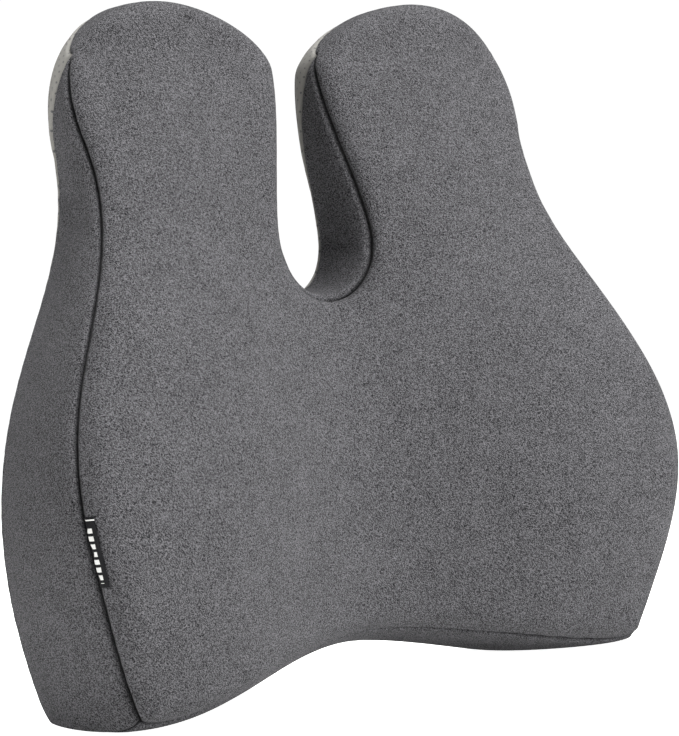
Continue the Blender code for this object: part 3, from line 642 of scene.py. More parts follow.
CREASE_SHADE_WIDTH = 0.0012      # how far the painted shade beside a seam reaches, where the pile is also pressed flat
FLAT_ROUND_ZIP = 0.045           # the back stays flat this far round the zip
FOOT_ROUNDING = 0.003            # how softly the lowest swell turns flat on the floor
SHARP_ANGLE = np.radians(50.0)
FOAM_DEPTH, LINER_DEPTH, LINER_THICKNESS = 0.0068, 0.0056, 0.0006


def make_mesh(name, points, triangles, uv=None, crease=None):
    """A mesh object from arrays of points and triangles, shaded smooth, with an optional place on the
    cloth and nearness to a seam for each point; the velour paints shade beside the seams from that
    nearness."""
    mesh = bpy.data.meshes.new(name)
    mesh.vertices.add(len(points))
    mesh.vertices.foreach_set("co", np.asarray(points, float).ravel())
    mesh.loops.add(3 * len(triangles))
    mesh.loops.foreach_set("vertex_index", np.asarray(triangles, np.int32).ravel())
    mesh.polygons.add(len(triangles))
    mesh.polygons.foreach_set("loop_start", np.arange(0, 3 * len(triangles), 3, dtype=np.int32))
    mesh.update(calc_edges=True)
    mesh.validate()
    if uv is not None:
        layer = mesh.uv_layers.new(name="cloth")
        corners = np.empty(len(mesh.loops), np.int32)
        mesh.loops.foreach_get("vertex_index", corners)
        layer.data.foreach_set("uv", uv[corners].ravel())
    if crease is not None:
        mesh.attributes.new("crease", "FLOAT", "POINT").data.foreach_set("value", crease)
    mesh.shade_smooth()
    mesh.set_sharp_from_angle(angle=SHARP_ANGLE)
    thing = bpy.data.objects.new(name, mesh)
    bpy.context.scene.collection.objects.link(thing)
    return thing


def thickened(points, normals, triangles, thickness):
    """The closed wall between a sheet and its copy set back along the normals: the copy's
    triangles are turned round, and each border edge gets two triangles of wall."""
    count = len(points)
    edges = np.concatenate([triangles[:, [0, 1]], triangles[:, [1, 2]], triangles[:, [2, 0]]])
    border = edges[~np.isin(edges[:, 0] * count + edges[:, 1],
                            edges[:, 1] * count + edges[:, 0])]
    a, b = border[:, 0], border[:, 1]
    walls = np.concatenate([np.stack([b, a, a + count], axis=1),
                            np.stack([b, a + count, b + count], axis=1)])
    return (np.concatenate([points, points - normals * thickness]),
            np.concatenate([triangles, triangles[:, ::-1] + count, walls]))


def swept(rows, closed=False):
    """Points and triangles of rings of points joined one to the next: a row is one ring.
    Open sweeps are closed by a fan at each end."""
    count, around = rows.shape[:2]
    ids = np.arange(count * around).reshape(count, around)
    ids = np.concatenate([ids, ids[:, :1]], axis=1)
    if closed:
        ids = np.concatenate([ids, ids[:1]])
    triangles, _ = triangles_of(quads_of(ids))
    points = rows.reshape(-1, 3)
    if closed:
        return points, triangles
    ring = np.arange(around)
    following = (ring + 1) % around
    last = (count - 1) * around
    ends = [np.stack([following, ring, np.full(around, count * around)], axis=1),
            np.stack([last + ring, last + following, np.full(around, count * around + 1)], axis=1)]
    points = np.concatenate([points, [rows[0].mean(axis=0)], [rows[-1].mean(axis=0)]])
    return points, np.concatenate([triangles] + ends)


def outside_out(points, triangles):
    """The triangles, turned round if the volume that they enclose comes out negative."""
    a, b, c = (points[triangles[:, i]] for i in range(3))
    volume = np.einsum("ij,ij->i", a, np.cross(b, c)).sum()
    return triangles if volume > 0 else triangles[:, ::-1]


def ring_rows(path, half_wide, half_high, around, closed=False, axis=(0.0, 1.0, 0.0)):
    """An oval section carried along a path; its first half axis lies square to the path and
    to the given axis, and its second stands off that."""
    if closed:
        tangent = np.roll(path, -1, axis=0) - np.roll(path, 1, axis=0)
    else:
        tangent = np.gradient(path, axis=0)
    tangent /= np.linalg.norm(tangent, axis=1)[:, None]
    side = np.cross(tangent, axis)
    side /= np.linalg.norm(side, axis=1)[:, None]
    up = np.cross(side, tangent)
    turn = np.linspace(0, 2 * np.pi, around, endpoint=False)[None, :, None]
    return (path[:, None] + side[:, None] * half_wide * np.cos(turn)
            + up[:, None] * half_high * np.sin(turn))


def put(thing, material, body, slot, *nodes):
    """Gives a piece its material and its body, and hides the CAD nodes it stands for; the slot is not
    used.
    """
    thing.data.materials.append(material)
    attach(thing, body)
    if nodes:
        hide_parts(*nodes)
    return thing


# --- Zip and label ---------------------------------------------------------------------------------

COIL_PITCH = 0.0014
COIL_WIRE = 0.0003
SLOT_TAIL, SLOT_HALF_OPEN = 0.006, 0.007   # tape hidden past the slot's end; half its opening
SLOT_ROUNDING = 0.003
SLOT_CUT_REACH = 0.006           # how far the cutter stands out on both sides of the back cloth
WELT_HALF_WIDTH, WELT_HALF_HEIGHT = 0.0015, 0.0009
STITCH_PITCH, STITCH_LENGTH, STITCH_RADIUS = 0.0032, 0.0024, 0.00028
STITCH_OFFSET = 0.0035
TAPE_WAVE, TAPE_WAVE_SPAN = 0.00012, 0.004
TAPE_SQUARENESS = 0.35
TAPE_GRIP = 0.0003               # how far an end cloth reaches into each tape
END_CLOTH_OUT, END_CLOTH_IN = 0.002, 0.0005    # past the slot's end, and under the end stop


def zip_box():
    """Corners of the slot in the back: as long as the tapes less their tails, and open as
    far as the pull's and the slider's room asks."""
    low, high = (np.array(corner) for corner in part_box("zip_tape_upper"))
    under, _ = (np.array(corner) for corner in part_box("zip_tape_lower"))
    middle = (high[2] + under[2]) / 2
    return (np.array((low[0] + SLOT_TAIL, 0.0, middle - SLOT_HALF_OPEN)),
            np.array((high[0] - SLOT_TAIL, 0.0, middle + SLOT_HALF_OPEN)))


def slot_path(grow, count=240):
    """Rounded rectangle round the slot at an even spacing, grown outwards."""
    low, high = zip_box()
    middle, half = (low + high) / 2, (high - low) / 2 + grow
    radius = SLOT_ROUNDING + grow
    corners = np.array(((1, 1), (-1, 1), (-1, -1), (1, -1)))
    turns = np.linspace(0, np.pi / 2, 9)
    line = []
    for quarter, (sx, sz) in enumerate(corners):
        angle = turns + quarter * np.pi / 2
        line.append(np.stack([sx * (half[0] - radius) + radius * np.cos(angle),
                              sz * (half[2] - radius) + radius * np.sin(angle)], axis=1))
    line = np.concatenate(line + [line[0][:1]])
    along = distance_along(line)
    at = np.linspace(0, along[-1], count, endpoint=False)
    x, z = (np.interp(at, along, line[:, i]) for i in (0, 1))
    return np.stack([x + middle[0], np.full(count, CAD_BOX[1][1]), z + middle[2]], axis=1)


def coil_rows(node, phase):
    """A wire wound round a flat oval core: one turn per pitch along the node's box."""
    low, high = (np.array(corner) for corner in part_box(node))
    middle, half = (low + high) / 2, (high - low) / 2 - COIL_WIRE
    turns = int((high[0] - low[0] - 2 * COIL_WIRE) / COIL_PITCH)
    angle = np.linspace(0, 2 * np.pi * turns, 10 * turns + 1)
    path = np.stack([low[0] + COIL_WIRE + COIL_PITCH * angle / (2 * np.pi),
                     middle[1] + half[1] * np.sin(angle + phase),
                     middle[2] + half[2] * np.cos(angle + phase)], axis=1)
    return ring_rows(path, COIL_WIRE, COIL_WIRE, 5, axis=(1.0, 0.0, 0.0))


def zip_end_box(stop):
    """Corners of the cloth that joins the tapes past an end stop, out to under the slot's
    edge; it reaches a little way into both tapes and is thinner than they are."""
    low, high = (np.array(corner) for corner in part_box(stop))
    upper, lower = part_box("zip_tape_upper"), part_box("zip_tape_lower")
    slot_low, slot_high = zip_box()
    outer = slot_high[0] + END_CLOTH_OUT if low[0] > 0 else slot_low[0] - END_CLOTH_OUT
    inner = high[0] - END_CLOTH_IN if low[0] > 0 else low[0] + END_CLOTH_IN
    thin = 0.2 * (upper[1][1] - upper[0][1])
    return (np.array((min(inner, outer), upper[0][1] + thin, lower[1][2] - TAPE_GRIP)),
            np.array((max(inner, outer), upper[1][1] - thin, upper[0][2] + TAPE_GRIP)))


def tape_rows(low, high):
    """A flat band that waves a little along its length; across it the section's two
    coordinates are a cosine and a sine raised to a small power, which squares an oval."""
    low, high = np.array(low), np.array(high)
    middle, half = (low + high) / 2, (high - low) / 2
    x = np.linspace(low[0], high[0], 200)
    turn = np.linspace(0, 2 * np.pi, 20, endpoint=False)
    z = np.sign(np.cos(turn)) * np.abs(np.cos(turn)) ** TAPE_SQUARENESS * half[2]
    y = np.sign(np.sin(turn)) * np.abs(np.sin(turn)) ** TAPE_SQUARENESS * (half[1] - TAPE_WAVE)
    rows = np.empty((len(x), len(turn), 3))
    rows[..., 0] = x[:, None]
    rows[..., 1] = middle[1] + y + TAPE_WAVE * np.sin(x / TAPE_WAVE_SPAN)[:, None]
    rows[..., 2] = middle[2] + z
    return rows


def stitch_points():
    """Short spindles, one per stitch, set end to end round the slot: the radius goes as the
    root of a little more than one less the square of the place along the stitch."""
    path = slot_path(STITCH_OFFSET, 24 * 8)
    along = distance_along(join(path, path[:1].repeat(2, axis=0)))
    count = int(along[-1] / STITCH_PITCH)
    path = slot_path(STITCH_OFFSET, count)
    tangent = np.roll(path, -1, axis=0) - np.roll(path, 1, axis=0)
    tangent /= np.linalg.norm(tangent, axis=1)[:, None]
    side = np.cross(tangent, (0.0, 1.0, 0.0))
    t = np.linspace(-1, 1, 5)
    radius = np.sqrt(np.clip(1.04 - t ** 2, 0, 1)) * STITCH_RADIUS
    turn = np.linspace(0, 2 * np.pi, 6, endpoint=False)
    local = (t[:, None] * STITCH_LENGTH / 2, radius[:, None] * np.cos(turn),
             radius[:, None] * np.sin(turn))
    rows = (path[:, None, None] + tangent[:, None, None] * np.broadcast_to(
        local[0], (5, 6))[None, ..., None] + side[:, None, None] * local[1][None, ..., None]
        + np.array((0.0, 1.0, 0.0)) * (local[2][None, ..., None] + 0.2 * MM))
    stitches = [swept(stitch) for stitch in rows]
    points = np.array([places for places, _ in stitches])
    first = np.arange(len(points))[:, None, None] * points.shape[1]
    triangles = np.array([corners for _, corners in stitches]) + first
    return points.reshape(-1, 3), triangles.reshape(-1, 3)


LABEL_HEIGHT, LABEL_LENGTH, LABEL_WIDTH = 0.100, 0.039, 0.010
LABEL_LIFT, LABEL_CURL, LABEL_THICKNESS = 0.0006, 0.0007, 0.0005
LABEL_RIPPLE = 0.00015
LABEL_MARGIN = 0.008             # ribs this far past the label's ends are read too


def label_sheet(skin):
    """The label's middle surface laid on the rolled rim beside the left seam: for each rib
    the rim is read at even distances from the seam, then along the seam at even heights,
    and lifted along the cloth's normals, most at the free edge and the corners."""
    form = skin.form
    ids = skin.ids(0, 1)[form.across:form.across + form.centre, :form.rim_steps + 1][:, ::-1]
    places, normals = skin.points[ids], skin.normals[ids]
    low = LABEL_HEIGHT + CORNER_LIFT - LABEL_LENGTH / 2
    near = np.flatnonzero((places[:, 0, 2] > low - LABEL_MARGIN)
                          & (places[:, 0, 2] < low + LABEL_LENGTH + LABEL_MARGIN))
    reach = np.linspace(0.0, LABEL_WIDTH, 15)
    lines = []
    for rib in near:
        along = distance_along(places[rib])
        both = np.concatenate([places[rib], normals[rib]], axis=1)
        lines.append(np.stack([np.interp(reach, along, both[:, i]) for i in range(6)], axis=1))
    lines = np.array(lines)
    heights = np.linspace(low, low + LABEL_LENGTH, 40)
    rows = np.stack([[np.interp(heights, lines[:, 0, 2], lines[:, column, i])
                      for i in range(6)] for column in range(len(reach))])
    rows = rows.transpose(2, 0, 1)
    u = np.linspace(-1, 1, len(heights))[:, None]
    v = np.linspace(0, 1, len(reach))[None]
    lift = LABEL_LIFT + LABEL_CURL * v ** 2 * (0.6 + 0.4 * u ** 4)
    lift = lift + LABEL_RIPPLE * np.sin(5 * u) * v
    return rows[..., :3] + rows[..., 3:] * lift[..., None], rows[..., 3:]


# --- Materials -------------------------------------------------------------------------------------

# Near-black colour of the painted shade beside the seams, where the pile is also pressed flat
SEAM_SHADE_COLOUR = (0.004, 0.004, 0.0045)
THREAD_COLOUR = (0.30, 0.295, 0.28)
FLOOR_LIGHT = 0.35               # how strongly the floor's glow lights the cushion
DOT_PITCH, DOT_RADIUS = 0.008, 0.0009
LABEL_BAR = 0.0043               # from one bar of the label to the next


def node(tree, kind, inputs=(), **settings):
    """Adds a node; an input is given by name or number, as a socket to link or a value."""
    made = tree.nodes.new(kind)
    for key, value in settings.items():
        setattr(made, key, value)
    for key, value in dict(inputs).items():
        if isinstance(value, bpy.types.NodeSocket):
            tree.links.new(value, made.inputs[key])
        else:
            made.inputs[key].default_value = value
    return made


def maths(tree, operation, *values):
    """One sum on values or sockets."""
    return node(tree, "ShaderNodeMath", enumerate(values), operation=operation).outputs[0]


def blended(tree, first, share, second):
    """So much of the first value and the rest of the second."""
    return maths(tree, "ADD", maths(tree, "MULTIPLY", first, share),
                 maths(tree, "MULTIPLY", second, 1 - share))


def ranged(tree, value, low, high):
    """A value between 0 and 1 brought between low and high."""
    return node(tree, "ShaderNodeMapRange", {0: value, 3: low, 4: high}).outputs[0]


def noise(tree, vector, scale, detail=2.0, roughness=0.5):
    """Cloudy values round one half, so many to the metre."""
    return node(tree, "ShaderNodeTexNoise", {"Vector": vector, "Scale": scale, "Detail": detail,
                                             "Roughness": roughness}).outputs["Fac"]


def stretched(tree, vector, turn, scale):
    """The place turned by Euler angles and then scaled unevenly."""
    turned = node(tree, "ShaderNodeMapping", {"Vector": vector, "Rotation": turn})
    return node(tree, "ShaderNodeMapping", {"Vector": turned.outputs[0], "Scale": scale}).outputs[0]


def times(colour, factor):
    """A colour made lighter or darker, with no part above 1."""
    return tuple(min(1.0, factor * part) for part in colour)


def mixed(tree, factor, first, second):
    """From the first colour to the second as the factor goes from 0 to 1."""
    made = node(tree, "ShaderNodeMix", {"Factor": factor}, data_type="RGBA")
    for socket, value in ((made.inputs[6], first), (made.inputs[7], second)):
        if isinstance(value, bpy.types.NodeSocket):
            tree.links.new(value, socket)
        else:
            socket.default_value = (*value, 1.0)
    return made.outputs[2]


def new_group(name, inputs, outputs):
    """An empty node group; inputs and outputs are (name, socket type, value) rows."""
    tree = bpy.data.node_groups.new(name, "ShaderNodeTree")
    for way, rows in (("INPUT", inputs), ("OUTPUT", outputs)):
        for label, kind, value in rows:
            socket = tree.interface.new_socket(label, in_out=way, socket_type=kind)
            if value is not None:
                socket.default_value = value
    return tree, tree.nodes.new("NodeGroupInput"), tree.nodes.new("NodeGroupOutput")


VECTOR, FLOAT = "NodeSocketVector", "NodeSocketFloat"


def nap_group():
    """Short pile: fine tufts, slanting rows of them, brushed patches and broad mottling."""
    tree, given, result = new_group(
        "Nap", (("Place", VECTOR, None), ("Tufts", FLOAT, 1550.0), ("Patches", FLOAT, 26.0)),
        (("Shade", FLOAT, None), ("Height", FLOAT, None)))
    place = node(tree, "ShaderNodeMapping", {"Vector": given.outputs["Place"],
                                             "Scale": (1.0, 0.5, 1.0)}).outputs[0]
    tufts = noise(tree, place, given.outputs["Tufts"], 3.0, 0.6)
    slanted = stretched(tree, place, (0.0, 0.72, 0.0), (1.0, 1.0, 0.36))
    rows = noise(tree, slanted, maths(tree, "MULTIPLY", given.outputs["Tufts"], 1.5), 1.0)
    brushed = noise(tree, place, maths(tree, "MULTIPLY", given.outputs["Patches"], 3.0), 2.0, 0.5)
    broad = noise(tree, place, given.outputs["Patches"], 2.0)
    fine = blended(tree, tufts, 0.55, rows)
    height = node(tree, "ShaderNodeMapRange", {0: fine, 1: 0.42, 2: 0.60}).outputs[0]
    large = blended(tree, brushed, 0.6, broad)
    large = node(tree, "ShaderNodeMapRange", {0: large, 1: 0.34, 2: 0.66}).outputs[0]
    shade = blended(tree, height, 0.90, large)
    tree.links.new(shade, result.inputs["Shade"])
    tree.links.new(height, result.inputs["Height"])
    return tree


def weave_group():
    """Plain weave: the product of two sets of ridges at right angles, each shifted by half a
    thread in every other row, with uneven threads."""
    tree, given, result = new_group(
        "Weave", (("Place", VECTOR, None), ("Threads", FLOAT, 2000.0)),
        (("Shade", FLOAT, None), ("Height", FLOAT, None)))
    scaled = node(tree, "ShaderNodeVectorMath", {0: given.outputs["Place"],
                                                 3: given.outputs["Threads"]}, operation="SCALE")
    parts = node(tree, "ShaderNodeSeparateXYZ", {0: scaled.outputs[0]})
    turn = [maths(tree, "MULTIPLY", parts.outputs[axis], np.pi) for axis in (0, 1)]
    warp, weft = (maths(tree, "SINE", angle) for angle in turn)
    crossing = maths(tree, "MULTIPLY", warp, weft)
    height = maths(tree, "ADD", maths(tree, "MULTIPLY", crossing, 0.5), 0.5)
    uneven = noise(tree, given.outputs["Place"], 350.0, 2.0)
    shade = blended(tree, height, 0.6, uneven)
    tree.links.new(shade, result.inputs["Shade"])
    tree.links.new(height, result.inputs["Height"])
    return tree


def wear_group():
    """Fine scratches and a slow clouding, for small metal parts."""
    tree, given, result = new_group("Wear", (("Place", VECTOR, None), ("Size", FLOAT, 900.0)),
                                    (("Scratches", FLOAT, None), ("Cloud", FLOAT, None)))
    long = stretched(tree, given.outputs["Place"], (0.0, 0.3, 0.0), (0.12, 1.0, 1.0))
    scratches = noise(tree, long, given.outputs["Size"], 4.0, 0.7)
    cloud = noise(tree, given.outputs["Place"], maths(tree, "MULTIPLY", given.outputs["Size"], 0.3))
    tree.links.new(scratches, result.inputs["Scratches"])
    tree.links.new(cloud, result.inputs["Cloud"])
    return tree


def group_node(tree, name, make, inputs):
    """Outputs of the named group, which is made when it is first asked for."""
    group = bpy.data.node_groups.get(name) or make()
    return node(tree, "ShaderNodeGroup", inputs, node_tree=group).outputs


def new_material(name, **settings):
    """A material with its constant finish set on the shader; returns it, its tree, its
    shader and the object's own coordinates."""
    material = bpy.data.materials.new(name)
    material.use_nodes = True
    tree = material.node_tree
    shader = tree.nodes["Principled BSDF"]
    for key, value in settings.items():
        shader.inputs[key.replace("_", " ").title().replace("Ior", "IOR")].default_value = value
    place = node(tree, "ShaderNodeTexCoord").outputs["Object"]
    return material, tree, shader, place


def bump(tree, shader, height, distance, strength=1.0):
    """Lets a height from 0 to 1 stand out by the distance in the shader's normal."""
    made = node(tree, "ShaderNodeBump", {"Height": height, "Distance": distance,
                                         "Strength": strength})
    tree.links.new(made.outputs[0], shader.inputs["Normal"])


def velour_material(colours):
    """Matt pile from dark roots to lighter tips, with painted shade beside the seams where the pile is
    also pressed flat.
    """
    material, tree, shader, place = new_material(
        "grey velour", sheen_weight=0.04, sheen_roughness=0.5, specular_ior_level=0.12)
    nap = group_node(tree, "Nap", nap_group, {"Place": place})
    pile = mixed(tree, nap["Shade"], tuple(colours.velour_dark), tuple(colours.velour))
    # Painted shade beside each seam: the crease attribute mixes the pile towards near-black, for the
    # groove's shade and the pile pressed flat there.
    crease = node(tree, "ShaderNodeAttribute", attribute_name="crease").outputs["Fac"]
    tree.links.new(mixed(tree, crease, pile, SEAM_SHADE_COLOUR), shader.inputs["Base Color"])
    rough = ranged(tree, nap["Shade"], 0.98, 0.82)
    tree.links.new(rough, shader.inputs["Roughness"])
    bump(tree, shader, nap["Height"], 0.3 * MM)
    return material


def backing_material(colours):
    """Light cloth with small raised dots in staggered rows, laid out on the cloth's own map:
    a dot is where the distance to the nearest dot's middle is under its radius."""
    material, tree, shader, _ = new_material("back cloth with grip dots", specular_ior_level=0.2)
    cloth = node(tree, "ShaderNodeUVMap", uv_map="cloth").outputs[0]
    weave = group_node(tree, "Weave", weave_group, {"Place": cloth, "Threads": 1500.0})
    dots = None
    for shift in (0.0, 0.5):
        moved = node(tree, "ShaderNodeMapping", {"Vector": cloth, "Scale": (1 / DOT_PITCH,) * 3,
                                                 "Location": (shift, shift, 0.0)}).outputs[0]
        cell = node(tree, "ShaderNodeVectorMath", {0: moved}, operation="FRACTION").outputs[0]
        off = node(tree, "ShaderNodeVectorMath", {0: cell, 1: (0.5, 0.5, 0.0)},
                   operation="DISTANCE").outputs["Value"]
        edge = DOT_RADIUS / DOT_PITCH
        dot = node(tree, "ShaderNodeMapRange", {0: off, 1: edge, 2: 0.75 * edge},
                   interpolation_type="SMOOTHSTEP").outputs[0]
        dots = dot if dots is None else maths(tree, "MAXIMUM", dots, dot)
    light = tuple(colours.backing)
    ground = mixed(tree, weave["Shade"], times(light, 0.72), light)
    tree.links.new(mixed(tree, dots, ground, tuple(colours.grip)), shader.inputs["Base Color"])
    rough = ranged(tree, dots, 0.92, 0.5)
    tree.links.new(rough, shader.inputs["Roughness"])
    height = maths(tree, "ADD", maths(tree, "MULTIPLY", weave["Height"], 0.25), dots)
    bump(tree, shader, height, 0.4 * MM)
    return material


def foam_material(colours):
    """Cream foam with fine open cells under slow clouds of colour."""
    material, tree, shader, place = new_material("slow-recovery foam", specular_ior_level=0.2)
    cells = node(tree, "ShaderNodeTexVoronoi", {"Vector": place, "Scale": 1400.0}).outputs[0]
    clouds = noise(tree, place, 18.0, 3.0)
    cream = tuple(colours.foam)
    ground = mixed(tree, clouds, times(cream, 0.86), cream)
    tree.links.new(mixed(tree, maths(tree, "MULTIPLY", cells, 0.35), ground,
                         times(cream, 0.6)), shader.inputs["Base Color"])
    tree.links.new(ranged(tree, clouds, 0.88, 0.97), shader.inputs["Roughness"])
    bump(tree, shader, cells, 0.2 * MM, 0.6)
    return material


def woven_material(name, base, threads, depth, **settings):
    """Cloth whose weave lies on the object's X and Z."""
    material, tree, shader, place = new_material(name, **settings)
    flat = stretched(tree, place, (np.pi / 2, 0.0, 0.0), (1.0, 1.0, 1.0))
    weave = group_node(tree, "Weave", weave_group, {"Place": flat, "Threads": threads})
    ground = mixed(tree, weave["Shade"], times(base, 0.55), times(base, 1.25))
    tree.links.new(ground, shader.inputs["Base Color"])
    tree.links.new(ranged(tree, weave["Shade"], 0.9, 0.72), shader.inputs["Roughness"])
    bump(tree, shader, weave["Height"], depth)
    return material


def metal_material(colours):
    """Dark plated metal, clouded in colour and finely scratched in its gloss."""
    material, tree, shader, place = new_material("gunmetal zip hardware", metallic=1.0)
    wear = group_node(tree, "Wear", wear_group, {"Place": place, "Size": 2600.0})
    base = tuple(colours.metal)
    ground = mixed(tree, wear["Cloud"], times(base, 0.6), times(base, 1.3))
    tree.links.new(ground, shader.inputs["Base Color"])
    tree.links.new(ranged(tree, wear["Scratches"], 0.24, 0.5), shader.inputs["Roughness"])
    bump(tree, shader, wear["Scratches"], 0.02 * MM, 0.5)
    return material


def nylon_material(colours):
    """Dark nylon wire with a slightly uneven gloss."""
    material, tree, shader, place = new_material("nylon coil", specular_ior_level=0.5)
    cloud = noise(tree, place, 700.0, 3.0)
    base = tuple(colours.nylon)
    ground = mixed(tree, cloud, times(base, 0.6), times(base, 1.5))
    tree.links.new(ground, shader.inputs["Base Color"])
    tree.links.new(ranged(tree, cloud, 0.3, 0.5), shader.inputs["Roughness"])
    bump(tree, shader, cloud, 0.02 * MM, 0.4)
    return material


def label_material(colours):
    """Black satin with a plain row of light woven bars and a thin line at its upper end, laid
    out on the label's own map: U along its length, V across it."""
    material, tree, shader, _ = new_material("woven label", specular_ior_level=0.1)
    cloth = node(tree, "ShaderNodeUVMap", uv_map="cloth").outputs[0]
    weave = group_node(tree, "Weave", weave_group, {"Place": cloth, "Threads": 3600.0})
    parts = node(tree, "ShaderNodeSeparateXYZ", {0: cloth})
    u, v = parts.outputs[0], parts.outputs[1]

    def between(value, low, high):
        return maths(tree, "MULTIPLY", maths(tree, "GREATER_THAN", value, low),
                     maths(tree, "LESS_THAN", value, high))

    place = maths(tree, "FRACT", maths(tree, "MULTIPLY", u, 1 / LABEL_BAR))
    bars = maths(tree, "LESS_THAN", place, 0.62)
    bars = maths(tree, "MULTIPLY", bars, between(u, 0.06 * LABEL_LENGTH, 0.88 * LABEL_LENGTH))
    tall = maths(tree, "MULTIPLY", maths(tree, "SINE", maths(tree, "MULTIPLY", u, 1.7 / LABEL_BAR)),
                 0.15 * LABEL_WIDTH)
    low_edge = maths(tree, "ADD", tall, 0.36 * LABEL_WIDTH)
    bars = maths(tree, "MULTIPLY", bars, between(v, low_edge, 0.72 * LABEL_WIDTH))
    line = between(u, 0.945 * LABEL_LENGTH, 0.965 * LABEL_LENGTH)
    marks = maths(tree, "MAXIMUM", bars, line)
    dark = tuple(colours.label)
    ground = mixed(tree, weave["Shade"], times(dark, 0.4), times(dark, 1.4))
    light = mixed(tree, weave["Shade"], times(colours.label_marks, 0.6),
                  tuple(colours.label_marks))
    tree.links.new(mixed(tree, marks, ground, light), shader.inputs["Base Color"])
    tree.links.new(ranged(tree, weave["Shade"], 0.75, 0.5), shader.inputs["Roughness"])
    bump(tree, shader, maths(tree, "ADD", weave["Height"], marks), 0.08 * MM)
    return material


def stage_material(glow):
    """Matt pale floor; its even glow is seen in full but lights the cushion only a little."""
    material, tree, shader, place = new_material("pale floor", specular_ior_level=0.0)
    shader.inputs["Emission Color"].default_value = (1.0, 1.0, 1.0, 1.0)
    seen = node(tree, "ShaderNodeLightPath").outputs["Is Camera Ray"]
    light = ranged(tree, seen, FLOOR_LIGHT, glow)
    tree.links.new(light, shader.inputs["Emission Strength"])
    cloud = noise(tree, place, 1.5, 2.0)
    tree.links.new(mixed(tree, cloud, (0.90, 0.90, 0.89), (0.93, 0.93, 0.92)),
                   shader.inputs["Base Color"])
    tree.links.new(ranged(tree, cloud, 0.85, 0.95), shader.inputs["Roughness"])
    return material


# --- Operators -------------------------------------------------------------------------------------

MADE = {}


def skin_of(context):
    if "skin" not in MADE:
        MADE["skin"] = stuffed_skin(context)
    return MADE["skin"]


def add_panel(context, name, owner, material, slot, node_name, uv=None, cut=None):
    """One sewn panel: its share of the skin, thickened inwards to the cover's thickness."""
    skin = skin_of(context)
    numbers, triangles = skin.panel(owner)
    points, walls = thickened(skin.points[numbers], skin.normals[numbers], triangles,
                              context.scene.cushion_sewing.cover_thickness)
    places = None if uv is None else np.concatenate([uv[numbers], uv[numbers]])
    # Nearness to the seams, which the velour turns into painted shade.
    crease = skin.creases(CREASE_SHADE_WIDTH)[numbers]
    thing = make_mesh(name, points, walls, places, np.concatenate([crease, crease]))
    if cut is not None:
        cut_out(thing, cut)
    put(thing, material, "cushion", slot, node_name)
    return thing


def cut_out(thing, cutter):
    """Cuts one closed body out of another for good and removes the cutter."""
    modifier = thing.modifiers.new("slot", "BOOLEAN")
    modifier.operation, modifier.solver, modifier.object = "DIFFERENCE", "EXACT", cutter
    whole = thing.evaluated_get(bpy.context.evaluated_depsgraph_get())
    mesh = bpy.data.meshes.new_from_object(whole)
    thing.modifiers.clear()
    old, thing.data = thing.data, mesh
    bpy.data.meshes.remove(old)
    bpy.data.objects.remove(cutter, do_unlink=True)


class CUSHION_OT_filling(bpy.types.Operator):
    """Make the moulded foam core and the thin knitted liner round it"""
    bl_idname = "cushion.filling"
    bl_label = "Foam and liner"

    def execute(self, context):
        skin = Skin(Form(context.scene.cushion_shape, 1))
        colours = context.scene.cushion_colours
        points = skin.points.copy()
        points[:, 2] = np.maximum(points[:, 2], 0.0)
        core = make_mesh("foam_block", points - skin.normals * FOAM_DEPTH, skin.triangles)
        put(core, foam_material(colours), "cushion", "foam", "foam_core")
        outer, walls = points - skin.normals * LINER_DEPTH, skin.triangles
        liner = make_mesh("knitted_liner", *thickened(outer, skin.normals, walls, LINER_THICKNESS))
        jersey = woven_material("liner jersey", tuple(colours.jersey), 900.0, 0.15 * MM)
        put(liner, jersey, "cushion", "jersey", "inner_liner")
        return {"FINISHED"}


class CUSHION_OT_velour_panels(bpy.types.Operator):
    """Sew the front, side, channel and bottom panels of the velour cover"""
    bl_idname = "cushion.velour_panels"
    bl_label = "Velour panels"

    def execute(self, context):
        velour = velour_material(context.scene.cushion_colours)
        for name, owner, node_name in (
                ("front_cover", FRONT, "front_panel"),
                ("side_cover_right", SIDE_RIGHT, "side_panel_right"),
                ("side_cover_left", SIDE_LEFT, "side_panel_left"),
                ("channel_cover", CHANNEL_SIDE, "channel_panel"),
                ("bottom_cover", BOTTOM, "bottom_panel")):
            add_panel(context, name, owner, velour, "velour", node_name)
        return {"FINISHED"}


class CUSHION_OT_back_panel(bpy.types.Operator):
    """Sew the light back panel with its grip dots and the slot for the zip"""
    bl_idname = "cushion.back_panel"
    bl_label = "Back panel"

    def execute(self, context):
        skin = skin_of(context)
        form = skin.form
        uv = skin.points[:, [0, 2]].copy()
        ribs = form.ribs
        across = distance_along(ribs.swapaxes(0, 1)).T
        beyond = across[:, -1:] - across
        normals = outward(form.outline())
        unrolled = ribs[:, -1:, [0, 2]] + normals[:, None] * beyond[..., None]
        for half, flip in ((0, 1.0), (1, -1.0)):
            uv[skin.ids(0, half)] = unrolled * (flip, 1.0) + (0.0, CORNER_LIFT)
        outline = slot_path(0.0)
        rows = outline[None] + np.array((-SLOT_CUT_REACH, SLOT_CUT_REACH))[:, None, None] * (0.0, 1.0, 0.0)
        points, triangles = swept(rows)
        cutter = make_mesh("slot_cutter", points, outside_out(points, triangles))
        backing = backing_material(context.scene.cushion_colours)
        add_panel(context, "back_cover", BACK, backing, "backing", "back_panel", uv, cutter)
        points, triangles = swept(ring_rows(slot_path(WELT_HALF_WIDTH * 0.6), WELT_HALF_WIDTH,
                                            WELT_HALF_HEIGHT, 10, closed=True), closed=True)
        welt = make_mesh("zip_welt", points, outside_out(points, triangles), points[:, [0, 2]])
        put(welt, backing, "cushion", "backing")
        points, triangles = stitch_points()
        stitches = make_mesh("zip_stitching", points, outside_out(points, triangles),
                             points[:, [0, 2]])
        thread = woven_material("sewing thread", THREAD_COLOUR, 5000.0, 0.05 * MM)
        put(stitches, thread, "cushion", "backing")
        return {"FINISHED"}


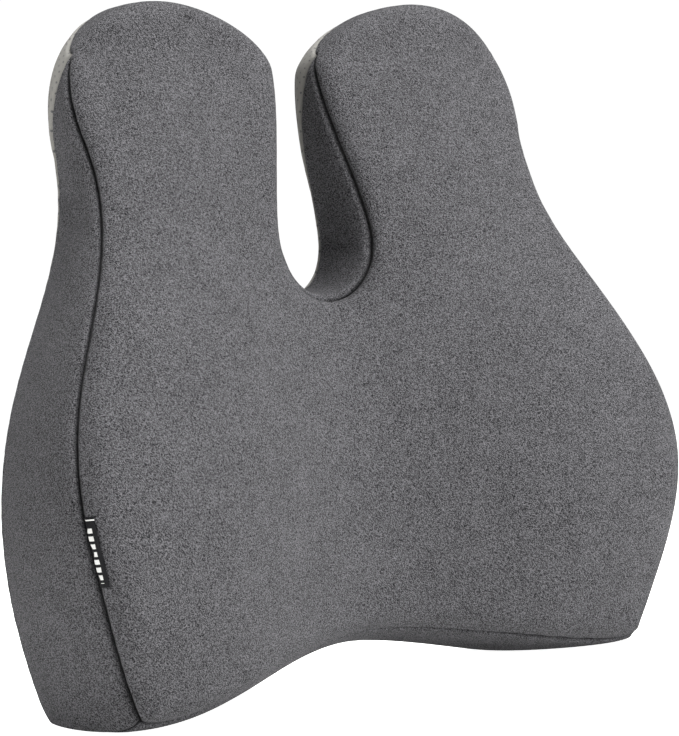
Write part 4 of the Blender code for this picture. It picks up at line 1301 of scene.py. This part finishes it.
class CUSHION_OT_zip(bpy.types.Operator):
    """Make the zip's tapes, coils and end cloths, and finish its metal parts"""
    bl_idname = "cushion.zip"
    bl_label = "Zip"

    def execute(self, context):
        colours = context.scene.cushion_colours
        tape = woven_material("zip tape", tuple(colours.zip_cloth), 2400.0, 0.12 * MM)
        nylon, metal = nylon_material(colours), metal_material(colours)
        for side, phase in (("upper", 0.0), ("lower", np.pi)):
            points, triangles = swept(tape_rows(*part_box("zip_tape_" + side)))
            band = make_mesh("woven_tape_" + side, points, outside_out(points, triangles))
            put(band, tape, "cushion", "zip_cloth", "zip_tape_" + side)
            points, triangles = swept(coil_rows("zip_coil_" + side, phase))
            coil = make_mesh("wound_coil_" + side, points, outside_out(points, triangles))
            put(coil, nylon, "cushion", "nylon", "zip_coil_" + side)
        for end in ("closed", "open"):
            points, triangles = swept(tape_rows(*zip_end_box("zip_stop_" + end)))
            end_cloth = make_mesh("zip_end_" + end, points, outside_out(points, triangles))
            put(end_cloth, tape, "cushion", "zip_cloth")
        for name in ("zip_stop_closed", "zip_stop_open", "zip_slider", "zip_pull"):
            mesh = frame["nodes"][name].data
            mesh.materials.clear()
            mesh.materials.append(metal)
        return {"FINISHED"}


class CUSHION_OT_label(bpy.types.Operator):
    """Lay the small woven label on the front panel beside the left seam"""
    bl_idname = "cushion.label"
    bl_label = "Label"

    def execute(self, context):
        sheet, normals = label_sheet(skin_of(context))
        rows, columns = sheet.shape[:2]
        triangles, _ = triangles_of(quads_of(np.arange(rows * columns).reshape(rows, columns)))
        points, flat = sheet.reshape(-1, 3), normals.reshape(-1, 3)
        u, v = np.meshgrid(np.linspace(0, LABEL_LENGTH, rows), np.linspace(0, LABEL_WIDTH, columns),
                           indexing="ij")
        uv = np.stack([u.ravel(), v.ravel()], axis=1)
        facing = np.cross(points[triangles[:, 1]] - points[triangles[:, 0]],
                          points[triangles[:, 2]] - points[triangles[:, 0]])
        if np.einsum("ij,ij->", facing, flat[triangles[:, 0]]) < 0:
            triangles = triangles[:, ::-1]
        points, triangles = thickened(points, flat, triangles, LABEL_THICKNESS)
        label = make_mesh("woven_label", points, triangles, np.concatenate([uv, uv]))
        put(label, label_material(context.scene.cushion_colours), "cushion", "label_cloth",
            "brand_tab")
        return {"FINISHED"}


FLOOR_DROP = -0.0002
LIGHT_SIZE = 1.3
LIGHT_PLACES = {"front": (1.8, -2.8, 0.4), "high": (0.4, -1.8, 2.4), "top": (0.2, 0.2, 2.6),
                "side": (-2.6, 0.0, 0.8)}
LIT_PLACE = (0.0, 0.0, 0.22)
CAMERA_PLACE = (-0.7667, -1.1603, 0.2005)
CAMERA_TURN = (89.786, 5.182, -33.267)
CAMERA_LENS, CAMERA_SENSOR = 109.96, 36.0


def add_light(name, place, power):
    """A soft round light aimed at the cushion's middle."""
    data = bpy.data.lights.new(name, "AREA")
    data.shape, data.size, data.energy = "DISK", LIGHT_SIZE, power
    light = bpy.data.objects.new(name, data)
    light.location = place
    light.rotation_euler = (Vector(LIT_PLACE) - Vector(place)).to_track_quat("-Z", "Y").to_euler()
    bpy.context.scene.collection.objects.link(light)


class CUSHION_OT_stage(bpy.types.Operator):
    """Set out the pale floor, the soft lights and the camera"""
    bl_idname = "cushion.stage"
    bl_label = "Stage"

    def execute(self, context):
        scene, studio = context.scene, context.scene.cushion_studio
        radius = studio.floor_radius * np.linspace(0.0, 1.0, 25)[:, None] ** 1.5
        turn = np.linspace(0, 2 * np.pi, 65)
        x, y = radius * np.cos(turn), radius * np.sin(turn)
        rows = np.stack([x, y, np.full_like(x, FLOOR_DROP)], axis=-1)
        triangles, _ = triangles_of(quads_of(np.arange(x.size).reshape(x.shape)))
        floor = make_mesh("floor", rows.reshape(-1, 3), triangles)
        floor.data.materials.append(stage_material(studio.floor_glow))
        for name, place in LIGHT_PLACES.items():
            add_light(name + " light", place, getattr(studio, name + "_power"))
        world = scene.world or bpy.data.worlds.new("surround")
        scene.world = world
        world.use_nodes = True
        tree = world.node_tree
        seen = node(tree, "ShaderNodeLightPath").outputs["Is Camera Ray"]
        strength = ranged(tree, seen, studio.ambient, studio.surround)
        tree.links.new(strength, tree.nodes["Background"].inputs["Strength"])
        tree.nodes["Background"].inputs["Color"].default_value = (1.0, 1.0, 1.0, 1.0)
        scene.view_settings.view_transform = "Standard"
        data = bpy.data.cameras.new("camera")
        data.lens, data.sensor_width = CAMERA_LENS, CAMERA_SENSOR
        data.clip_start, data.clip_end = 0.05, 50.0
        camera = bpy.data.objects.new("camera", data)
        camera.location = CAMERA_PLACE
        camera.rotation_euler = np.radians(CAMERA_TURN)
        scene.collection.objects.link(camera)
        scene.camera = camera
        return {"FINISHED"}


class CUSHION_PT_panel(bpy.types.Panel):
    """Buttons for each part of the cushion, with its sizes and colours"""
    bl_idname = "CUSHION_PT_panel"
    bl_label = "Lumbar cushion"
    bl_space_type = "VIEW_3D"
    bl_region_type = "UI"
    bl_category = "Cushion"

    def draw(self, context):
        for step in STEPS:
            self.layout.operator(step.bl_idname)
        for name in SETTINGS:
            group = getattr(context.scene, name)
            column = self.layout.box().column()
            for prop in group.bl_rna.properties:
                if prop.identifier in type(group).__annotations__:
                    column.prop(group, prop.identifier)


STEPS = (CUSHION_OT_stage, CUSHION_OT_filling, CUSHION_OT_velour_panels, CUSHION_OT_back_panel,
         CUSHION_OT_zip, CUSHION_OT_label)
SETTINGS = {"cushion_shape": CushionShape, "cushion_sewing": CushionSewing,
            "cushion_colours": CushionColours, "cushion_studio": CushionStudio}
CLASSES = (*SETTINGS.values(), *STEPS, CUSHION_PT_panel)


def register():
    for cls in CLASSES:
        bpy.utils.register_class(cls)
    for name, cls in SETTINGS.items():
        setattr(bpy.types.Scene, name, PointerProperty(type=cls))


def unregister():
    for name in SETTINGS:
        delattr(bpy.types.Scene, name)
    for cls in reversed(CLASSES):
        bpy.utils.unregister_class(cls)


def main():
    register()
    for step in STEPS:
        category, name = step.bl_idname.split(".")
        getattr(getattr(bpy.ops, category), name)()


if __name__ == "__main__":
    main()
